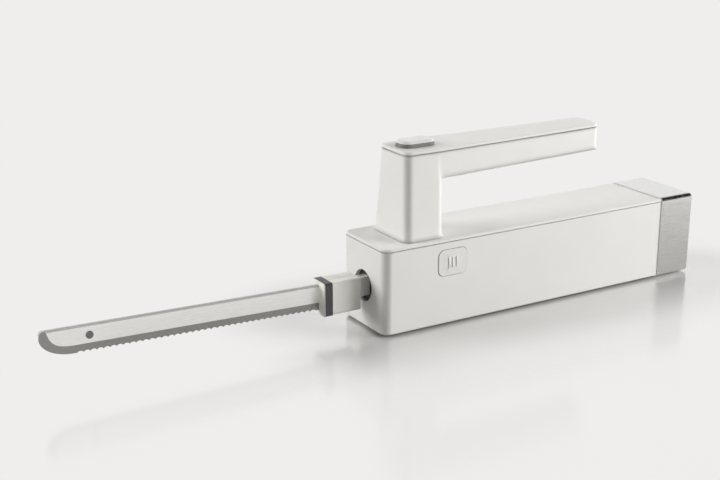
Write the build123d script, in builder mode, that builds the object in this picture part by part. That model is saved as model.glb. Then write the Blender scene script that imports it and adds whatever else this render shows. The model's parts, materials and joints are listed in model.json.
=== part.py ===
from build123d import *
import os
from math import cos, degrees, pi, radians, sin, sqrt, tan

# An electric carving knife that stands on its base. +X runs to the rear, so the blades point along -X.
# -Y is the left side, +Z is up, and the origin is on the table under the middle of the housing.

os.makedirs("parts", exist_ok=True)

# Housing
body_corner = 6.0
body_foot_edge = 0.8
wall = 2.4
front_wall = 3.0
floor_gap = 1.4
floor_thickness = 2.4
lid_thickness = 2.2
lid_edge = 1.6
lid_rim_height = 3.0
lid_rim_thickness = 1.6
seam_height = 0.5
seam_depth = 0.6

# Clearances
fit_gap = 0.15
running_gap = 0.05
sliding_gap = 0.3
overrun = 1.0

# Base plate, feet and the long screws that hold the housing together
plate_recess = 2.0
plate_inset = 2.8
plate_drop = 0.7
foot_radius = 6.0
foot_sink = 1.0
foot_front = 22.0
foot_rear_setback = 16.0
foot_inset = 11.0
screw_radius = 1.45
screw_head_radius = 2.8
screw_head_height = 1.7
screw_hole_radius = 1.6
screw_thread_hole = 1.5
column_radius = 4.2
column_front = 11.5
column_cap_gap = 9.0
column_bite = 0.2
column_split = 10.0
vent_length = 14.0
vent_width = 2.6
vent_pitch = 6.0
vent_count = 7
vent_place_share = 0.4

# Steel cap round the rear end
cap_length = 30.0
cap_sheet = 0.9
cap_proud = 0.5
cap_corner = 3.0
cap_end_corner = 2.6
cap_frame_side = 4.5
cap_frame_rise = 6.6
cap_window_corner = 4.0
tub_setback = 4.0
cover_seat = 1.0
cover_corner = 3.0
cover_bevel = 1.8
cover_screw_inset = 3.5
cover_block_width = 9.0
cover_block_height = 8.0
cover_block_length = 10.0
cover_slot_length = 20.0
cover_slot_width = 2.2
cover_slot_pitch = 5.0
cover_slot_rows = 3

# Cord gland and terminal block
cord_radius = 3.3
gland_height = 17.0
gland_barrel_radius = 6.0
gland_flange_radius = 8.0
gland_flange_thickness = 2.0
gland_reach = 4.0
terminal_gap = 15.0
terminal_rear_gap = 28.0
terminal_length = 18.0
terminal_width = 22.0
terminal_height = 12.0
terminal_ways = 3
terminal_slot = 5.0

# Handle: post, grip and cover
finger_gap = 36.6
grip_depth = 21.0
post_inset = 5.5
post_base_front = 19.5
post_base_rear = 48.5
post_top_front = 21.5
post_top_rear = 50.0
post_plinth_height = 2.4
post_plinth_spread = 1.6
post_corner = 5.0
post_wall = 2.6
post_floor = 3.0
handle_cover_thickness = 2.6
grip_root = 36.0
grip_rear = 182.0
grip_rise = 1.8
grip_width = 33.0
grip_rear_width = 24.0
grip_rear_corner = 6.0
grip_lower_edge = 4.5
grip_wall = 2.4
post_screw_front = 26.5
post_screw_rear = 41.0
post_screw_side = 13.0
post_boss_radius = 3.0
post_boss_height = 7.0
grip_screw_front = 104.0
grip_screw_rear = 166.0
grip_boss_radius = 3.6
wire_hole_radius = 3.2

# Lock button, trigger and switch
lock_length = 25.0
lock_width = 15.0
lock_rise = 4.0
lock_edge = 2.4
lock_station = 38.5
lock_flange_thickness = 1.2
lock_flange_spread = 1.2
lock_stem_radius = 1.9
lock_stem_length = 6.0
lock_spring_radius = 2.9
trigger_front = 56.0
trigger_drop = 2.6
trigger_flat_rear = 74.0
trigger_slot_rear = 80.6
trigger_width = 9.2
trigger_slot_gap = 0.4
trigger_nose = 2.4
trigger_lip = 2.0
trigger_pivot_station = 84.0
trigger_pivot_height = 6.0
trigger_boss_radius = 3.1
trigger_pin_radius = 1.25
ear_thickness = 2.0
ear_radius = 3.2
switch_front = 57.0
switch_length = 14.0
switch_width = 6.6
switch_drop = 10.4
plunger_radius = 1.0
plunger_length = 0.5
trigger_spring_station = 75.0
trigger_spring_radius = 2.3
trigger_spring_boss = 5.4
lead_radius = 1.1
lead_bend = 5.0

# Springs of round wire
spring_wire = 0.35
spring_turns = 6
spring_end_gap = 0.05

# Blade opening and guide
port_rise = 9.5
port_radius = 10.5
guide_thickness = 3.6
guide_size = 26.0
guide_corner = 3.0
guide_gap = 0.4

# Blades
blade_gap = 0.1
blade_thickness = 0.95
blade_root_station = 21.0
blade_tip_station = 213.0
blade_seat = 2.15
blade_root_height = 17.0
blade_tip_height = 16.6
blade_cant = 1.58
blade_tip_top_corner = 2.5
blade_tip_curve_length = 20.0
blade_tip_curve_height = 12.0
bevel_height = 5.2
edge_thickness = 0.3
tooth_pitch = 4.0
tooth_depth = 0.8
tooth_land = 0.5
rivet_setback = 29.6
rivet_height = 10.0
rivet_radius = 1.3
rivet_head_radius = 2.3
rivet_head_height = 0.6
rivet_washer_gap = 0.15

# Blade shanks and collars
shank_front = 27.0
shank_rear = 6.6
shank_drop = 13.1
shank_height = 21.4
shank_half_width = 8.0
shank_split = 0.15
shank_edge = 1.6
collar_length = 6.0
collar_spread = 0.3
tang_half_width = 3.05
tang_height = 13.0
tang_end = 47.6
notch_front = 34.0
notch_length = 6.0
notch_depth = 2.0

# Blade carriers
carrier_front = 12.0
carrier_rear = 54.0
carrier_split = 0.2
carrier_shell = 2.4
carrier_play = 0.1
socket_end = 48.0
bridge_front = 50.0
yoke_inner = 14.5
yoke_thickness = 3.0
yoke_aft = 14.0
yoke_half_height = 11.5
stroke = 4.0

# Latch leaves and release buttons
leaf_thickness = 0.5
leaf_front = 35.0
leaf_inner = 0.6
leaf_outer = 5.0
leaf_nose_length = 3.2
leaf_nose_gap = 0.3
leaf_tab_front = 44.0
leaf_tab_length = 6.0
leaf_tab_rise = 6.5
leaf_tab_reach = 4.0
button_station = 51.5
button_rise = 5.5
button_length = 22.0
button_tall = 17.5
button_corner = 4.5
button_proud = 0.4
button_edge = 0.3
button_gap = 0.25
button_flange = 1.3
button_flange_spread = 1.0
button_rib_count = 3
button_rib_pitch = 3.0
button_rib_width = 0.9
button_rib_length = 7.0
button_rib_depth = 0.3
stem_length = 10.0
stem_height = 2.5
stem_drop = 0.75
stem_tip = 11.0
release_spring_radius = 2.4
release_spring_rise = 5.0
spring_rib_inner = 11.0
spring_rib_thickness = 2.0
spring_rib_length = 10.0
spring_rib_below = 2.8

# Gear frame
gear_station = 80.0
wheel_floor_gap = 0.7
frame_fore = 19.0
frame_aft = 20.0
frame_base = 1.6
frame_wall_inner = 5.5
frame_wall = 3.0
frame_rear_wall = 4.0
frame_top_margin = 9.0
frame_bed_front = 16.0
frame_bed_rear = 44.0
bed_rib_inner = 0.8
bed_rib_outer = 5.2
worm_window_radius = 6.0

# Worm, wheel and cranks
gear_module = 1.0
wheel_teeth = 20
worm_starts = 2
worm_pitch_radius = 4.0
worm_length = 18.0
tooth_addendum = 0.9
tooth_dedendum = 1.15
tooth_thickness = 1.2
pressure_angle = 20.0
wheel_half_width = 4.0
hub_radius = 5.5
hub_half_width = 5.2
wheel_shaft_radius = 3.0
bush_radius = 5.0
bush_overhang = 0.15
crank_gap = 0.5
crank_thickness = 2.5
crank_disc_radius = 7.5
crank_pin_radius = 2.5
pin_slot_gap = 0.15

# Motor
motor_side_gap = 2.6
motor_lid_gap = 3.4
motor_screw_inset = 3.6
shaft_radius = 3.0
shaft_journal_radius = 2.5
shaft_nose_radius = 2.0
bearing_radius = 6.5
bearing_length = 5.0
bracket_thickness = 3.0
bracket_corner = 4.0
bracket_window = 7.0
bracket_window_orbit = 14.5
bearing_boss_radius = 9.0
motor_boss_radius = 3.2
stator_length = 40.0
stator_width = 42.0
stator_height = 40.0
stator_corner = 6.0
stator_bore = 13.0
stator_yoke = 3.0
slot_half_angle = 30.0
coil_gap = 0.3
coil_end_length = 7.5
coil_fan_gap = 3.5
coil_leg_inner_angle = 4.0
armature_radius = 12.5
armature_slots = 12
armature_slot_width = 2.6
armature_slot_depth = 5.0
winding_overhang = 7.0
winding_end_radius = 11.5
commutator_length = 11.0
commutator_gap = 3.0
commutator_rear_gap = 5.0
commutator_radius = 7.5
commutator_bars = 24
commutator_groove = 0.5
commutator_groove_depth = 0.6
fan_length = 8.0
fan_gap = 3.0
fan_radius = 17.5
fan_hub_radius = 6.0
fan_disc = 1.2
fan_blades = 9
fan_blade_thickness = 1.2
brush_length = 5.0
brush_offset = 1.0
brush_height = 6.0
brush_gap = 0.12
brush_spring_length = 3.48
brush_wall = 1.4
holder_inner = 9.2
holder_inset = 1.0
brush_spring_radius = 2.0

# Levels that follow from the sizes above, from the table up to the grip
plate_bottom = plate_drop
plate_top = floor_gap + plate_recess
tub_floor = plate_top + floor_thickness
wheel_pitch_radius = gear_module * wheel_teeth / 2
wheel_height = tub_floor + frame_base + wheel_floor_gap + wheel_pitch_radius + tooth_addendum
motor_height = wheel_height + wheel_pitch_radius + worm_pitch_radius
bracket_top = motor_height + stator_height / 2
lid_line = bracket_top + motor_lid_gap
body_height = lid_line + lid_thickness
body_middle = (floor_gap + body_height) / 2
grip_bottom = body_height + finger_gap
handle_height = grip_bottom + grip_depth
handle_line = handle_height - handle_cover_thickness
grip_floor = grip_bottom + grip_wall
port_height = wheel_height + port_rise
shank_bottom = port_height - shank_drop
blade_root_bottom = shank_bottom + blade_seat
tang_bottom = port_height - tang_height / 2
tang_top = port_height + tang_height / 2
carrier_top = tang_top + carrier_play + carrier_shell
carrier_bottom = tang_bottom - carrier_play - carrier_shell
button_height = carrier_top + button_rise
spring_rib_drop = lid_line - button_height - release_spring_rise + spring_rib_below

# Widths that follow, from the middle outwards
body_width = stator_width + 2 * (motor_side_gap + wall)
half_width = body_width / 2
foot_side = half_width - foot_inset
inner_half_width = half_width - wall
bracket_half_width = stator_width / 2
slot_outer = stator_width / 2 - stator_yoke
motor_screw_side = stator_width / 2 - motor_screw_inset
motor_screw_rise = stator_height / 2 - motor_screw_inset
holder_outer = bracket_half_width - holder_inset
post_base_width = body_width - 2 * post_inset
cap_window_width = body_width - 2 * cap_frame_side
cap_window_height = body_height - floor_gap - 2 * cap_frame_rise
cover_screw_side = cap_window_width / 2 - cover_screw_inset
crank_inner = frame_wall_inner + frame_wall + crank_gap
crank_outer = crank_inner + crank_thickness
pin_end = yoke_inner - sliding_gap
worm_lead = pi * gear_module * worm_starts
lead_angle_slope = worm_lead / (2 * pi * worm_pitch_radius)
carrier_outer = tang_half_width + carrier_play + carrier_shell

# Stations that follow, from the front face to the rear
shank_neck_front = stroke + sliding_gap
frame_front = gear_station - frame_fore
frame_rear = gear_station + frame_aft
yoke_rear = gear_station + yoke_aft
fan_front = frame_rear + bracket_thickness + bearing_length + fan_gap
stator_front = fan_front + fan_length + coil_fan_gap + coil_end_length
commutator_front = stator_front + stator_length + winding_overhang + commutator_gap
brush_station = commutator_front + commutator_length / 2 + brush_offset
rear_bracket_front = commutator_front + commutator_length + commutator_rear_gap
terminal_front = rear_bracket_front + bracket_thickness + terminal_gap
vent_centre = stator_front + stator_length * vent_place_share
body_length = terminal_front + terminal_length + terminal_rear_gap
column_rear = body_length - cap_length - column_cap_gap
foot_rear = column_rear - foot_rear_setback
front_x = -body_length / 2
rear_x = body_length / 2

# The steel cap's step into the housing
cap_step = cap_sheet - cap_proud + running_gap
cap_start = rear_x - cap_length
tub_end = rear_x - tub_setback
cap_half_width = half_width - cap_step + running_gap
cap_bottom = floor_gap + cap_step - running_gap
cap_top = body_height - cap_step + running_gap
left, right = -1, 1
sides = (("left", left), ("right", right))


def along(station):
    """X of a place so far behind the housing's front face."""
    return front_x + station


def finish(piece, label):
    """Name a finished piece and write it."""
    piece.part.label = label
    export_step(piece.part, f"parts/{label}.step")


def side_plane(side, distance):
    """A plane parallel to XZ at this distance from the middle, on one side."""
    return Plane.XZ.offset(-side * distance)


def outward(side, amount):
    """Extrusion amount that leads away from the middle on one side."""
    return -side * amount


def body_plan(inset, front, rear, corner):
    """Plan outline of the housing, drawn in by an inset, with its front corners rounded."""
    with Locations(((front + rear) / 2, 0)):
        Rectangle(rear - front, 2 * (half_width - inset))
    fillet(vertices().group_by(Axis.X)[0], corner)


def cut_cap_seat():
    """Turn down the outside where the steel cap slides on."""
    with BuildSketch(Plane.YZ.offset(cap_start)) as ring:
        with Locations((0, body_middle)):
            Rectangle(2 * body_width, 2 * body_height)
            RectangleRounded(
                body_width - 2 * cap_step, body_height - floor_gap - 2 * cap_step, cap_corner - cap_sheet,
                mode=Mode.SUBTRACT)
    extrude(ring.sketch, amount=cap_length + overrun, mode=Mode.SUBTRACT)


def column_places():
    """Plan places of the four long housing screws."""
    side = inner_half_width - column_radius + column_bite
    return [(along(x), y) for x in (column_front, column_rear) for y in (-side, side)]


def foot_places():
    """Plan places of the four rubber feet."""
    return [(along(x), y) for x in (foot_front, foot_rear) for y in (-foot_side, foot_side)]


def vent_places():
    """Plan places of the air slots in the floor, under the motor."""
    middle = (vent_count - 1) / 2
    return [(along(vent_centre + (i - middle) * vent_pitch), 0) for i in range(vent_count)]


def post_screw_places():
    """Plan places of the four screws that hold the handle on the lid."""
    return [(along(x), y) for x in (post_screw_front, post_screw_rear)
            for y in (-post_screw_side, post_screw_side)]


def grip_screw_places():
    """Plan places of the two screws that hold the handle cover."""
    return [(along(x), 0) for x in (grip_screw_front, grip_screw_rear)]


def motor_screw_places():
    """Places of the four motor screws about the motor's axis."""
    return [(y, motor_height + z) for y in (-motor_screw_side, motor_screw_side)
            for z in (-motor_screw_rise, motor_screw_rise)]


def coil_spring(base, direction, length, radius):
    """A closed run of round wire turns between two seats, as one helical tube."""
    height = length - 2 * (spring_wire + spring_end_gap)
    pitch = height / spring_turns
    seat = Plane(origin=base, z_dir=direction)
    start = seat.offset(spring_wire + spring_end_gap)
    path = start.location * Helix(pitch=pitch, height=height, radius=radius)
    tip = Plane(origin=path @ 0, z_dir=path % 0)
    return sweep(tip * Circle(spring_wire), path=path, is_frenet=True)


# Housing tub

with BuildPart() as main_housing:
    with BuildSketch(Plane.XY.offset(floor_gap)):
        body_plan(0, front_x, tub_end, body_corner)
    extrude(amount=lid_line - floor_gap)
    chamfer(main_housing.edges().group_by(Axis.Z)[0], body_foot_edge)
    with BuildSketch(Plane.XY.offset(tub_floor)):
        body_plan(wall, along(front_wall), rear_x + overrun, body_corner - wall)
    extrude(amount=lid_line - tub_floor + overrun, mode=Mode.SUBTRACT)
    with BuildSketch(Plane.XY.offset(floor_gap)):
        body_plan(plate_inset - fit_gap, along(plate_inset - fit_gap), cap_start - plate_inset + fit_gap,
                  body_corner - plate_inset + fit_gap)
    extrude(amount=plate_recess, mode=Mode.SUBTRACT)
    cut_cap_seat()
    with BuildSketch(Plane.XY.offset(tub_floor - overrun)):
        with Locations(*column_places()):
            Circle(column_radius)
    extrude(amount=lid_line - column_split - tub_floor + overrun)
    with BuildSketch(Plane.XY):
        with Locations(*column_places()):
            Circle(screw_hole_radius)
    extrude(amount=body_height, mode=Mode.SUBTRACT)
    for side in (left, right):
        block_middle = side * (inner_half_width + column_bite - cover_block_width / 2)
        with BuildSketch(Plane.YZ.offset(tub_end)):
            with Locations((block_middle, body_middle)):
                Rectangle(cover_block_width, cover_block_height)
        extrude(amount=-cover_block_length)
    with BuildSketch(Plane.YZ.offset(tub_end)):
        with Locations((-cover_screw_side, body_middle), (cover_screw_side, body_middle)):
            Circle(screw_thread_hole)
    extrude(amount=-cover_block_length, mode=Mode.SUBTRACT)
    with BuildSketch(Plane.YZ.offset(front_x)):
        with Locations((0, port_height)):
            Circle(port_radius)
    extrude(amount=front_wall, mode=Mode.SUBTRACT)
    with BuildSketch(Plane.XZ):
        with Locations((along(button_station), button_height)):
            RectangleRounded(button_length + 2 * button_gap, button_tall + 2 * button_gap,
                             button_corner + button_gap)
    extrude(amount=body_width, both=True, mode=Mode.SUBTRACT)
    with BuildSketch(Plane.XY.offset(plate_top)):
        with Locations(*vent_places()):
            SlotOverall(vent_length, vent_width, rotation=90)
    extrude(amount=floor_thickness, mode=Mode.SUBTRACT)
finish(main_housing, "main_housing")

# Lid

with BuildPart() as top_cover:
    with BuildSketch(Plane.XY.offset(lid_line)):
        body_plan(0, front_x, tub_end, body_corner)
    extrude(amount=lid_thickness)
    fillet(top_cover.edges().group_by(Axis.Z)[-1], lid_edge)
    with BuildSketch(Plane.XY.offset(lid_line)):
        body_plan(-overrun, front_x - overrun, rear_x, body_corner + overrun)
        with Locations(((front_x + seam_depth + rear_x) / 2, 0)):
            Rectangle(rear_x - front_x - seam_depth, body_width - 2 * seam_depth, mode=Mode.SUBTRACT)
    extrude(amount=seam_height, mode=Mode.SUBTRACT)
    with BuildSketch(Plane.XY.offset(lid_line)):
        rim_outer = wall + fit_gap
        rim_inner = rim_outer + lid_rim_thickness
        rim_front = front_wall + fit_gap
        body_plan(rim_outer, along(rim_front), cap_start, body_corner - rim_outer)
        with Locations(((along(rim_front + lid_rim_thickness) + cap_start) / 2, 0)):
            Rectangle(cap_start - along(rim_front + lid_rim_thickness), 2 * (half_width - rim_inner),
                      mode=Mode.SUBTRACT)
    extrude(amount=-lid_rim_height)
    cut_cap_seat()
    with BuildSketch(Plane.XY.offset(lid_line)):
        with Locations(*column_places()):
            Circle(column_radius - 2 * column_bite)
    extrude(amount=-(column_split - fit_gap))
    with BuildSketch(Plane.XY.offset(lid_line - column_split)):
        with Locations(*column_places()):
            Circle(screw_thread_hole)
    extrude(amount=column_split, mode=Mode.SUBTRACT)
    with BuildSketch(Plane.XY.offset(lid_line)):
        with Locations(*post_screw_places()):
            Circle(screw_hole_radius)
        with Locations((along(post_base_rear - post_wall) - lead_radius, 0)):
            Circle(wire_hole_radius)
    extrude(amount=lid_thickness, mode=Mode.SUBTRACT)
    for side in (left, right):
        with BuildSketch(Plane.XY.offset(lid_line)):
            with Locations((along(button_station), side * (spring_rib_inner + spring_rib_thickness / 2))):
                Rectangle(spring_rib_length, spring_rib_thickness)
        extrude(amount=-spring_rib_drop)
finish(top_cover, "top_cover")

# Base plate, feet and long screws

with BuildPart() as base_plate:
    with BuildSketch(Plane.XY.offset(plate_bottom)):
        body_plan(plate_inset, along(plate_inset), cap_start - plate_inset, body_corner - plate_inset)
    extrude(amount=plate_top - plate_bottom)
    with BuildSketch(Plane.XY.offset(plate_bottom)):
        with Locations(*foot_places()):
            Circle(foot_radius + fit_gap)
    extrude(amount=foot_sink, mode=Mode.SUBTRACT)
    with BuildSketch(Plane.XY.offset(plate_bottom)):
        with Locations(*column_places()):
            Circle(screw_hole_radius)
        with Locations(*vent_places()):
            SlotOverall(vent_length, vent_width, rotation=90)
    extrude(amount=plate_top - plate_bottom, mode=Mode.SUBTRACT)
    with BuildSketch(Plane.XY.offset(plate_bottom)):
        with Locations(*column_places()):
            Circle(screw_head_radius + fit_gap)
    extrude(amount=screw_head_height, mode=Mode.SUBTRACT)
finish(base_plate, "base_plate")

with BuildPart() as base_feet:
    with BuildSketch(Plane.XY):
        with Locations(*foot_places()):
            Circle(foot_radius)
    extrude(amount=plate_bottom + foot_sink)
finish(base_feet, "base_feet")

with BuildPart() as housing_screws:
    with BuildSketch(Plane.XY.offset(plate_bottom)):
        with Locations(*column_places()):
            Circle(screw_head_radius)
    extrude(amount=screw_head_height)
    with BuildSketch(Plane.XY.offset(plate_bottom)):
        with Locations(*column_places()):
            Circle(screw_radius)
    extrude(amount=lid_line - fit_gap - plate_bottom)
finish(housing_screws, "housing_screws")

# Steel cap, rear cover and its screws

with BuildPart() as cap_hollow:
    with BuildSketch(Plane.YZ.offset(cap_start - overrun)):
        with Locations((0, body_middle)):
            RectangleRounded(2 * cap_half_width, cap_top - cap_bottom, cap_corner - cap_sheet)
    extrude(amount=cap_length + overrun - cap_sheet)
    fillet(cap_hollow.edges().group_by(Axis.X)[-1], cap_end_corner - cap_sheet)

with BuildPart() as rear_cap:
    with BuildSketch(Plane.YZ.offset(cap_start)):
        with Locations((0, body_middle)):
            RectangleRounded(2 * (cap_half_width + cap_sheet), cap_top - cap_bottom + 2 * cap_sheet,
                             cap_corner)
    extrude(amount=cap_length)
    fillet(rear_cap.edges().group_by(Axis.X)[-1], cap_end_corner)
    add(cap_hollow.part, mode=Mode.SUBTRACT)
    with BuildSketch(Plane.YZ.offset(rear_x)):
        with Locations((0, body_middle)):
            RectangleRounded(cap_window_width, cap_window_height, cap_window_corner)
    extrude(amount=-cap_length / 2, mode=Mode.SUBTRACT)
finish(rear_cap, "rear_cap")

cover_front = tub_end + fit_gap
cover_rear = rear_x - cap_sheet - running_gap
cover_width = 2 * (inner_half_width + cover_seat)
cover_height = cap_top - cap_bottom - (2 * half_width - cover_width)
slot_plan = [(0, body_middle + (row + 1) * cover_slot_pitch) for row in range(cover_slot_rows)]

with BuildPart() as rear_cover:
    with BuildSketch(Plane.YZ.offset(cover_front)):
        with Locations((0, body_middle)):
            RectangleRounded(cover_width, cover_height, cover_corner)
    extrude(amount=cover_rear - cover_front)
    chamfer(rear_cover.edges().group_by(Axis.X)[-1], cover_bevel)
    with BuildSketch(Plane.YZ.offset(cover_front)):
        with Locations((0, gland_height)):
            Circle(gland_barrel_radius)
        with Locations(*slot_plan):
            SlotOverall(cover_slot_length, cover_slot_width)
        with Locations((-cover_screw_side, body_middle), (cover_screw_side, body_middle)):
            Circle(screw_hole_radius)
    extrude(amount=cover_rear - cover_front, mode=Mode.SUBTRACT)
finish(rear_cover, "rear_cover")

with BuildPart() as rear_cover_screws:
    screw_sides = [(-cover_screw_side, body_middle), (cover_screw_side, body_middle)]
    with BuildSketch(Plane.YZ.offset(cover_rear)):
        with Locations(*screw_sides):
            Circle(screw_head_radius)
    extrude(amount=screw_head_height)
    with BuildSketch(Plane.YZ.offset(cover_rear)):
        with Locations(*screw_sides):
            Circle(screw_radius)
    extrude(amount=cover_front - cover_rear - cover_block_length + overrun)
    with BuildSketch(Plane.YZ.offset(cover_rear + screw_head_height)):
        for place in screw_sides:
            with Locations(place):
                Rectangle(screw_head_radius, screw_head_radius / 4)
                Rectangle(screw_head_radius / 4, screw_head_radius)
    extrude(amount=-screw_head_height / 2, mode=Mode.SUBTRACT)
finish(rear_cover_screws, "rear_cover_screws")

# Cord gland and terminal block

with BuildPart() as cord_gland:
    with BuildSketch(Plane.YZ.offset(cover_front - gland_flange_thickness)):
        with Locations((0, gland_height)):
            Circle(gland_flange_radius)
    extrude(amount=gland_flange_thickness)
    with BuildSketch(Plane.YZ.offset(cover_front)):
        with Locations((0, gland_height)):
            Circle(gland_barrel_radius)
    extrude(amount=cover_rear - cover_front)
    with BuildSketch(Plane.YZ.offset(cover_rear)):
        with Locations((0, gland_height)):
            Circle(gland_flange_radius)
    extrude(amount=gland_reach)
    fillet(cord_gland.edges().group_by(Axis.X)[-1], gland_flange_thickness / 2)
    with BuildSketch(Plane.YZ.offset(tub_end - gland_flange_thickness)):
        with Locations((0, gland_height)):
            Circle(cord_radius)
    extrude(amount=tub_setback * 2 + gland_reach + overrun, mode=Mode.SUBTRACT)
finish(cord_gland, "cord_gland")

with BuildPart() as terminal_block:
    with BuildSketch(Plane.XY.offset(tub_floor)):
        with Locations((along(terminal_front + terminal_length / 2), 0)):
            Rectangle(terminal_length, terminal_width)
    extrude(amount=terminal_height)
    with BuildSketch(Plane.XY.offset(tub_floor + terminal_height)):
        with Locations((along(terminal_front + terminal_length / 2), 0)):
            with GridLocations(terminal_length / 2, terminal_width / terminal_ways, 2, terminal_ways):
                Rectangle(terminal_slot, terminal_slot)
    extrude(amount=-terminal_height / 3, mode=Mode.SUBTRACT)
    with BuildSketch(Plane.XY.offset(tub_floor + terminal_height * 2 / 3)):
        with Locations((along(terminal_front + terminal_length / 2), 0)):
            with GridLocations(terminal_length / 2, terminal_width / terminal_ways, 2, terminal_ways):
                Circle(terminal_slot / 3)
    extrude(amount=terminal_height / 6)
finish(terminal_block, "terminal_block")

# Handle shell: post and grip in one moulding, open at the top


def handle_plan(inset, front):
    """Plan outline of the handle's top, from the post's front to the grip's rounded end."""
    top_half = grip_width / 2 - inset
    rear_half = grip_rear_width / 2 - inset
    end = along(grip_rear) - inset
    with BuildLine() as outline:
        Polyline((front, -top_half), (along(post_top_rear), -top_half), (end, -rear_half), (end, rear_half),
                 (along(post_top_rear), top_half), (front, top_half), close=True)
    make_face(outline.edges())
    fillet(vertices().group_by(Axis.X)[-1], grip_rear_corner - inset)


def post_section(level, inset):
    """Horizontal section of the post at a level, drawn in by an inset."""
    share = (level - body_height) / (handle_line - body_height)
    front = post_base_front + (post_top_front - post_base_front) * share
    rear = post_base_rear + (post_top_rear - post_base_rear) * share
    width = post_base_width + (grip_width - post_base_width) * share
    with Locations((along((front + rear) / 2), 0)):
        RectangleRounded(rear - front - 2 * inset, width - 2 * inset, post_corner - inset)


def grip_section(width, bottom):
    """Cross-section of the grip, with its two lower edges rounded."""
    with Locations((0, (bottom + handle_line) / 2)):
        Rectangle(width, handle_line - bottom)
    fillet(vertices().group_by(Axis.Y)[0], grip_lower_edge)


def oblong(length, width):
    """Outline of the lock button, grown or shrunk about its place on top of the post."""
    with Locations((along(lock_station), 0)):
        RectangleRounded(length, width, width / 2 * oblong_share)


oblong_share = 0.8
grip_top_front = along(post_top_front)
plinth_top = body_height + post_plinth_height
post_floor_top = body_height + post_floor
grip_end_bottom = grip_bottom + grip_rise
lead_station = post_base_rear - post_wall - lead_radius - sliding_gap

with BuildPart() as post_hollow:
    with BuildSketch(Plane.XY.offset(post_floor_top)):
        post_section(post_floor_top, post_wall)
    with BuildSketch(Plane.XY.offset(grip_bottom)):
        post_section(grip_bottom, post_wall)
    loft()

with BuildPart() as grip_hollow:
    with BuildSketch(Plane.XY.offset(grip_floor)):
        handle_plan(grip_wall, grip_top_front + grip_wall)
        fillet(vertices().group_by(Axis.X)[0], post_corner - grip_wall)
    extrude(amount=handle_line - grip_floor + overrun)

with BuildPart() as handle_shell:
    with BuildSketch(Plane.YZ.offset(along(grip_root))):
        grip_section(grip_width, grip_bottom)
    with BuildSketch(Plane.YZ.offset(along(post_top_rear))):
        grip_section(grip_width, grip_bottom)
    loft(ruled=True)
    with BuildSketch(Plane.YZ.offset(along(post_top_rear))):
        grip_section(grip_width, grip_bottom)
    with BuildSketch(Plane.YZ.offset(along(grip_rear))):
        grip_section(grip_rear_width, grip_end_bottom)
    loft(ruled=True)
    with BuildSketch(Plane.XY.offset(grip_bottom)):
        handle_plan(0, along(grip_root))
    extrude(amount=handle_line - grip_bottom, mode=Mode.INTERSECT)
    with BuildSketch(Plane.XY.offset(body_height)):
        post_section(body_height, 0)
    with BuildSketch(Plane.XY.offset(handle_line)):
        post_section(handle_line, 0)
    loft()
    with BuildSketch(Plane.XY.offset(body_height)):
        post_section(body_height, -post_plinth_spread)
    with BuildSketch(Plane.XY.offset(plinth_top)):
        post_section(plinth_top, 0)
    loft()
    add(post_hollow.part, mode=Mode.SUBTRACT)
    add(grip_hollow.part, mode=Mode.SUBTRACT)
    with BuildSketch(Plane.XY.offset(body_height)):
        with Locations(*post_screw_places()):
            Circle(post_boss_radius)
    extrude(amount=post_boss_height)
    with BuildSketch(Plane.XY.offset(body_height)):
        with Locations(*post_screw_places()):
            Circle(screw_thread_hole)
    extrude(amount=post_boss_height - overrun, mode=Mode.SUBTRACT)
    with BuildSketch(Plane.XY.offset(body_height)):
        with Locations((along(lead_station), 0)):
            Circle(lead_radius + sliding_gap)
    extrude(amount=handle_line - body_height, mode=Mode.SUBTRACT)
    with BuildSketch(Plane.XY.offset(grip_bottom)):
        with Locations((along((trigger_front + trigger_slot_rear - trigger_slot_gap) / 2), 0)):
            Rectangle(trigger_slot_rear - trigger_front + trigger_slot_gap,
                      trigger_width + 2 * trigger_slot_gap)
    extrude(amount=grip_wall + overrun, mode=Mode.SUBTRACT)
    with BuildSketch(Plane.XZ):
        with Locations((along(trigger_pivot_station), grip_floor + trigger_pivot_height - ear_radius)):
            Circle(ear_radius)
        with Locations((along(trigger_pivot_station), grip_floor + (trigger_pivot_height - ear_radius) / 2)):
            Rectangle(2 * ear_radius, trigger_pivot_height - ear_radius)
        pivot_level = grip_floor + trigger_pivot_height - ear_radius
    ear_faces = trigger_width / 2 + trigger_slot_gap
    extrude(amount=ear_faces + ear_thickness, both=True)
    with BuildSketch(Plane.XZ):
        with Locations((along(trigger_pivot_station), pivot_level + ear_radius / 2)):
            Rectangle(2 * ear_radius + overrun, 2 * (ear_radius + ear_radius / 2))
    extrude(amount=ear_faces, both=True, mode=Mode.SUBTRACT)
    with BuildSketch(Plane.XZ):
        with Locations((along(trigger_pivot_station), pivot_level)):
            Circle(trigger_pin_radius)
    extrude(amount=ear_faces + ear_thickness, both=True, mode=Mode.SUBTRACT)
    with BuildSketch(Plane.XY.offset(grip_bottom)):
        with Locations(*grip_screw_places()):
            Circle(screw_hole_radius)
    extrude(amount=grip_wall + grip_rise, mode=Mode.SUBTRACT)
    with BuildSketch(Plane.XY.offset(grip_bottom)):
        with Locations(*grip_screw_places()):
            Circle(screw_head_radius + fit_gap)
    extrude(amount=screw_head_height, mode=Mode.SUBTRACT)
finish(handle_shell, "handle_shell")

# Handle cover and screws


def cut_handle_seam():
    """Cut the fine seam under the handle cover's outer edge."""
    with BuildSketch(Plane.XY.offset(handle_line)) as seam:
        handle_plan(-overrun, grip_top_front - overrun)
    with BuildSketch(Plane.XY.offset(handle_line)) as seam_core:
        handle_plan(seam_depth, grip_top_front + seam_depth)
        fillet(vertices().group_by(Axis.X)[0], post_corner - seam_depth)
    extrude(seam.sketch - seam_core.sketch, amount=seam_height, mode=Mode.SUBTRACT)


lock_flange_top = handle_line - sliding_gap
lock_flange_bottom = lock_flange_top - lock_flange_thickness

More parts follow.
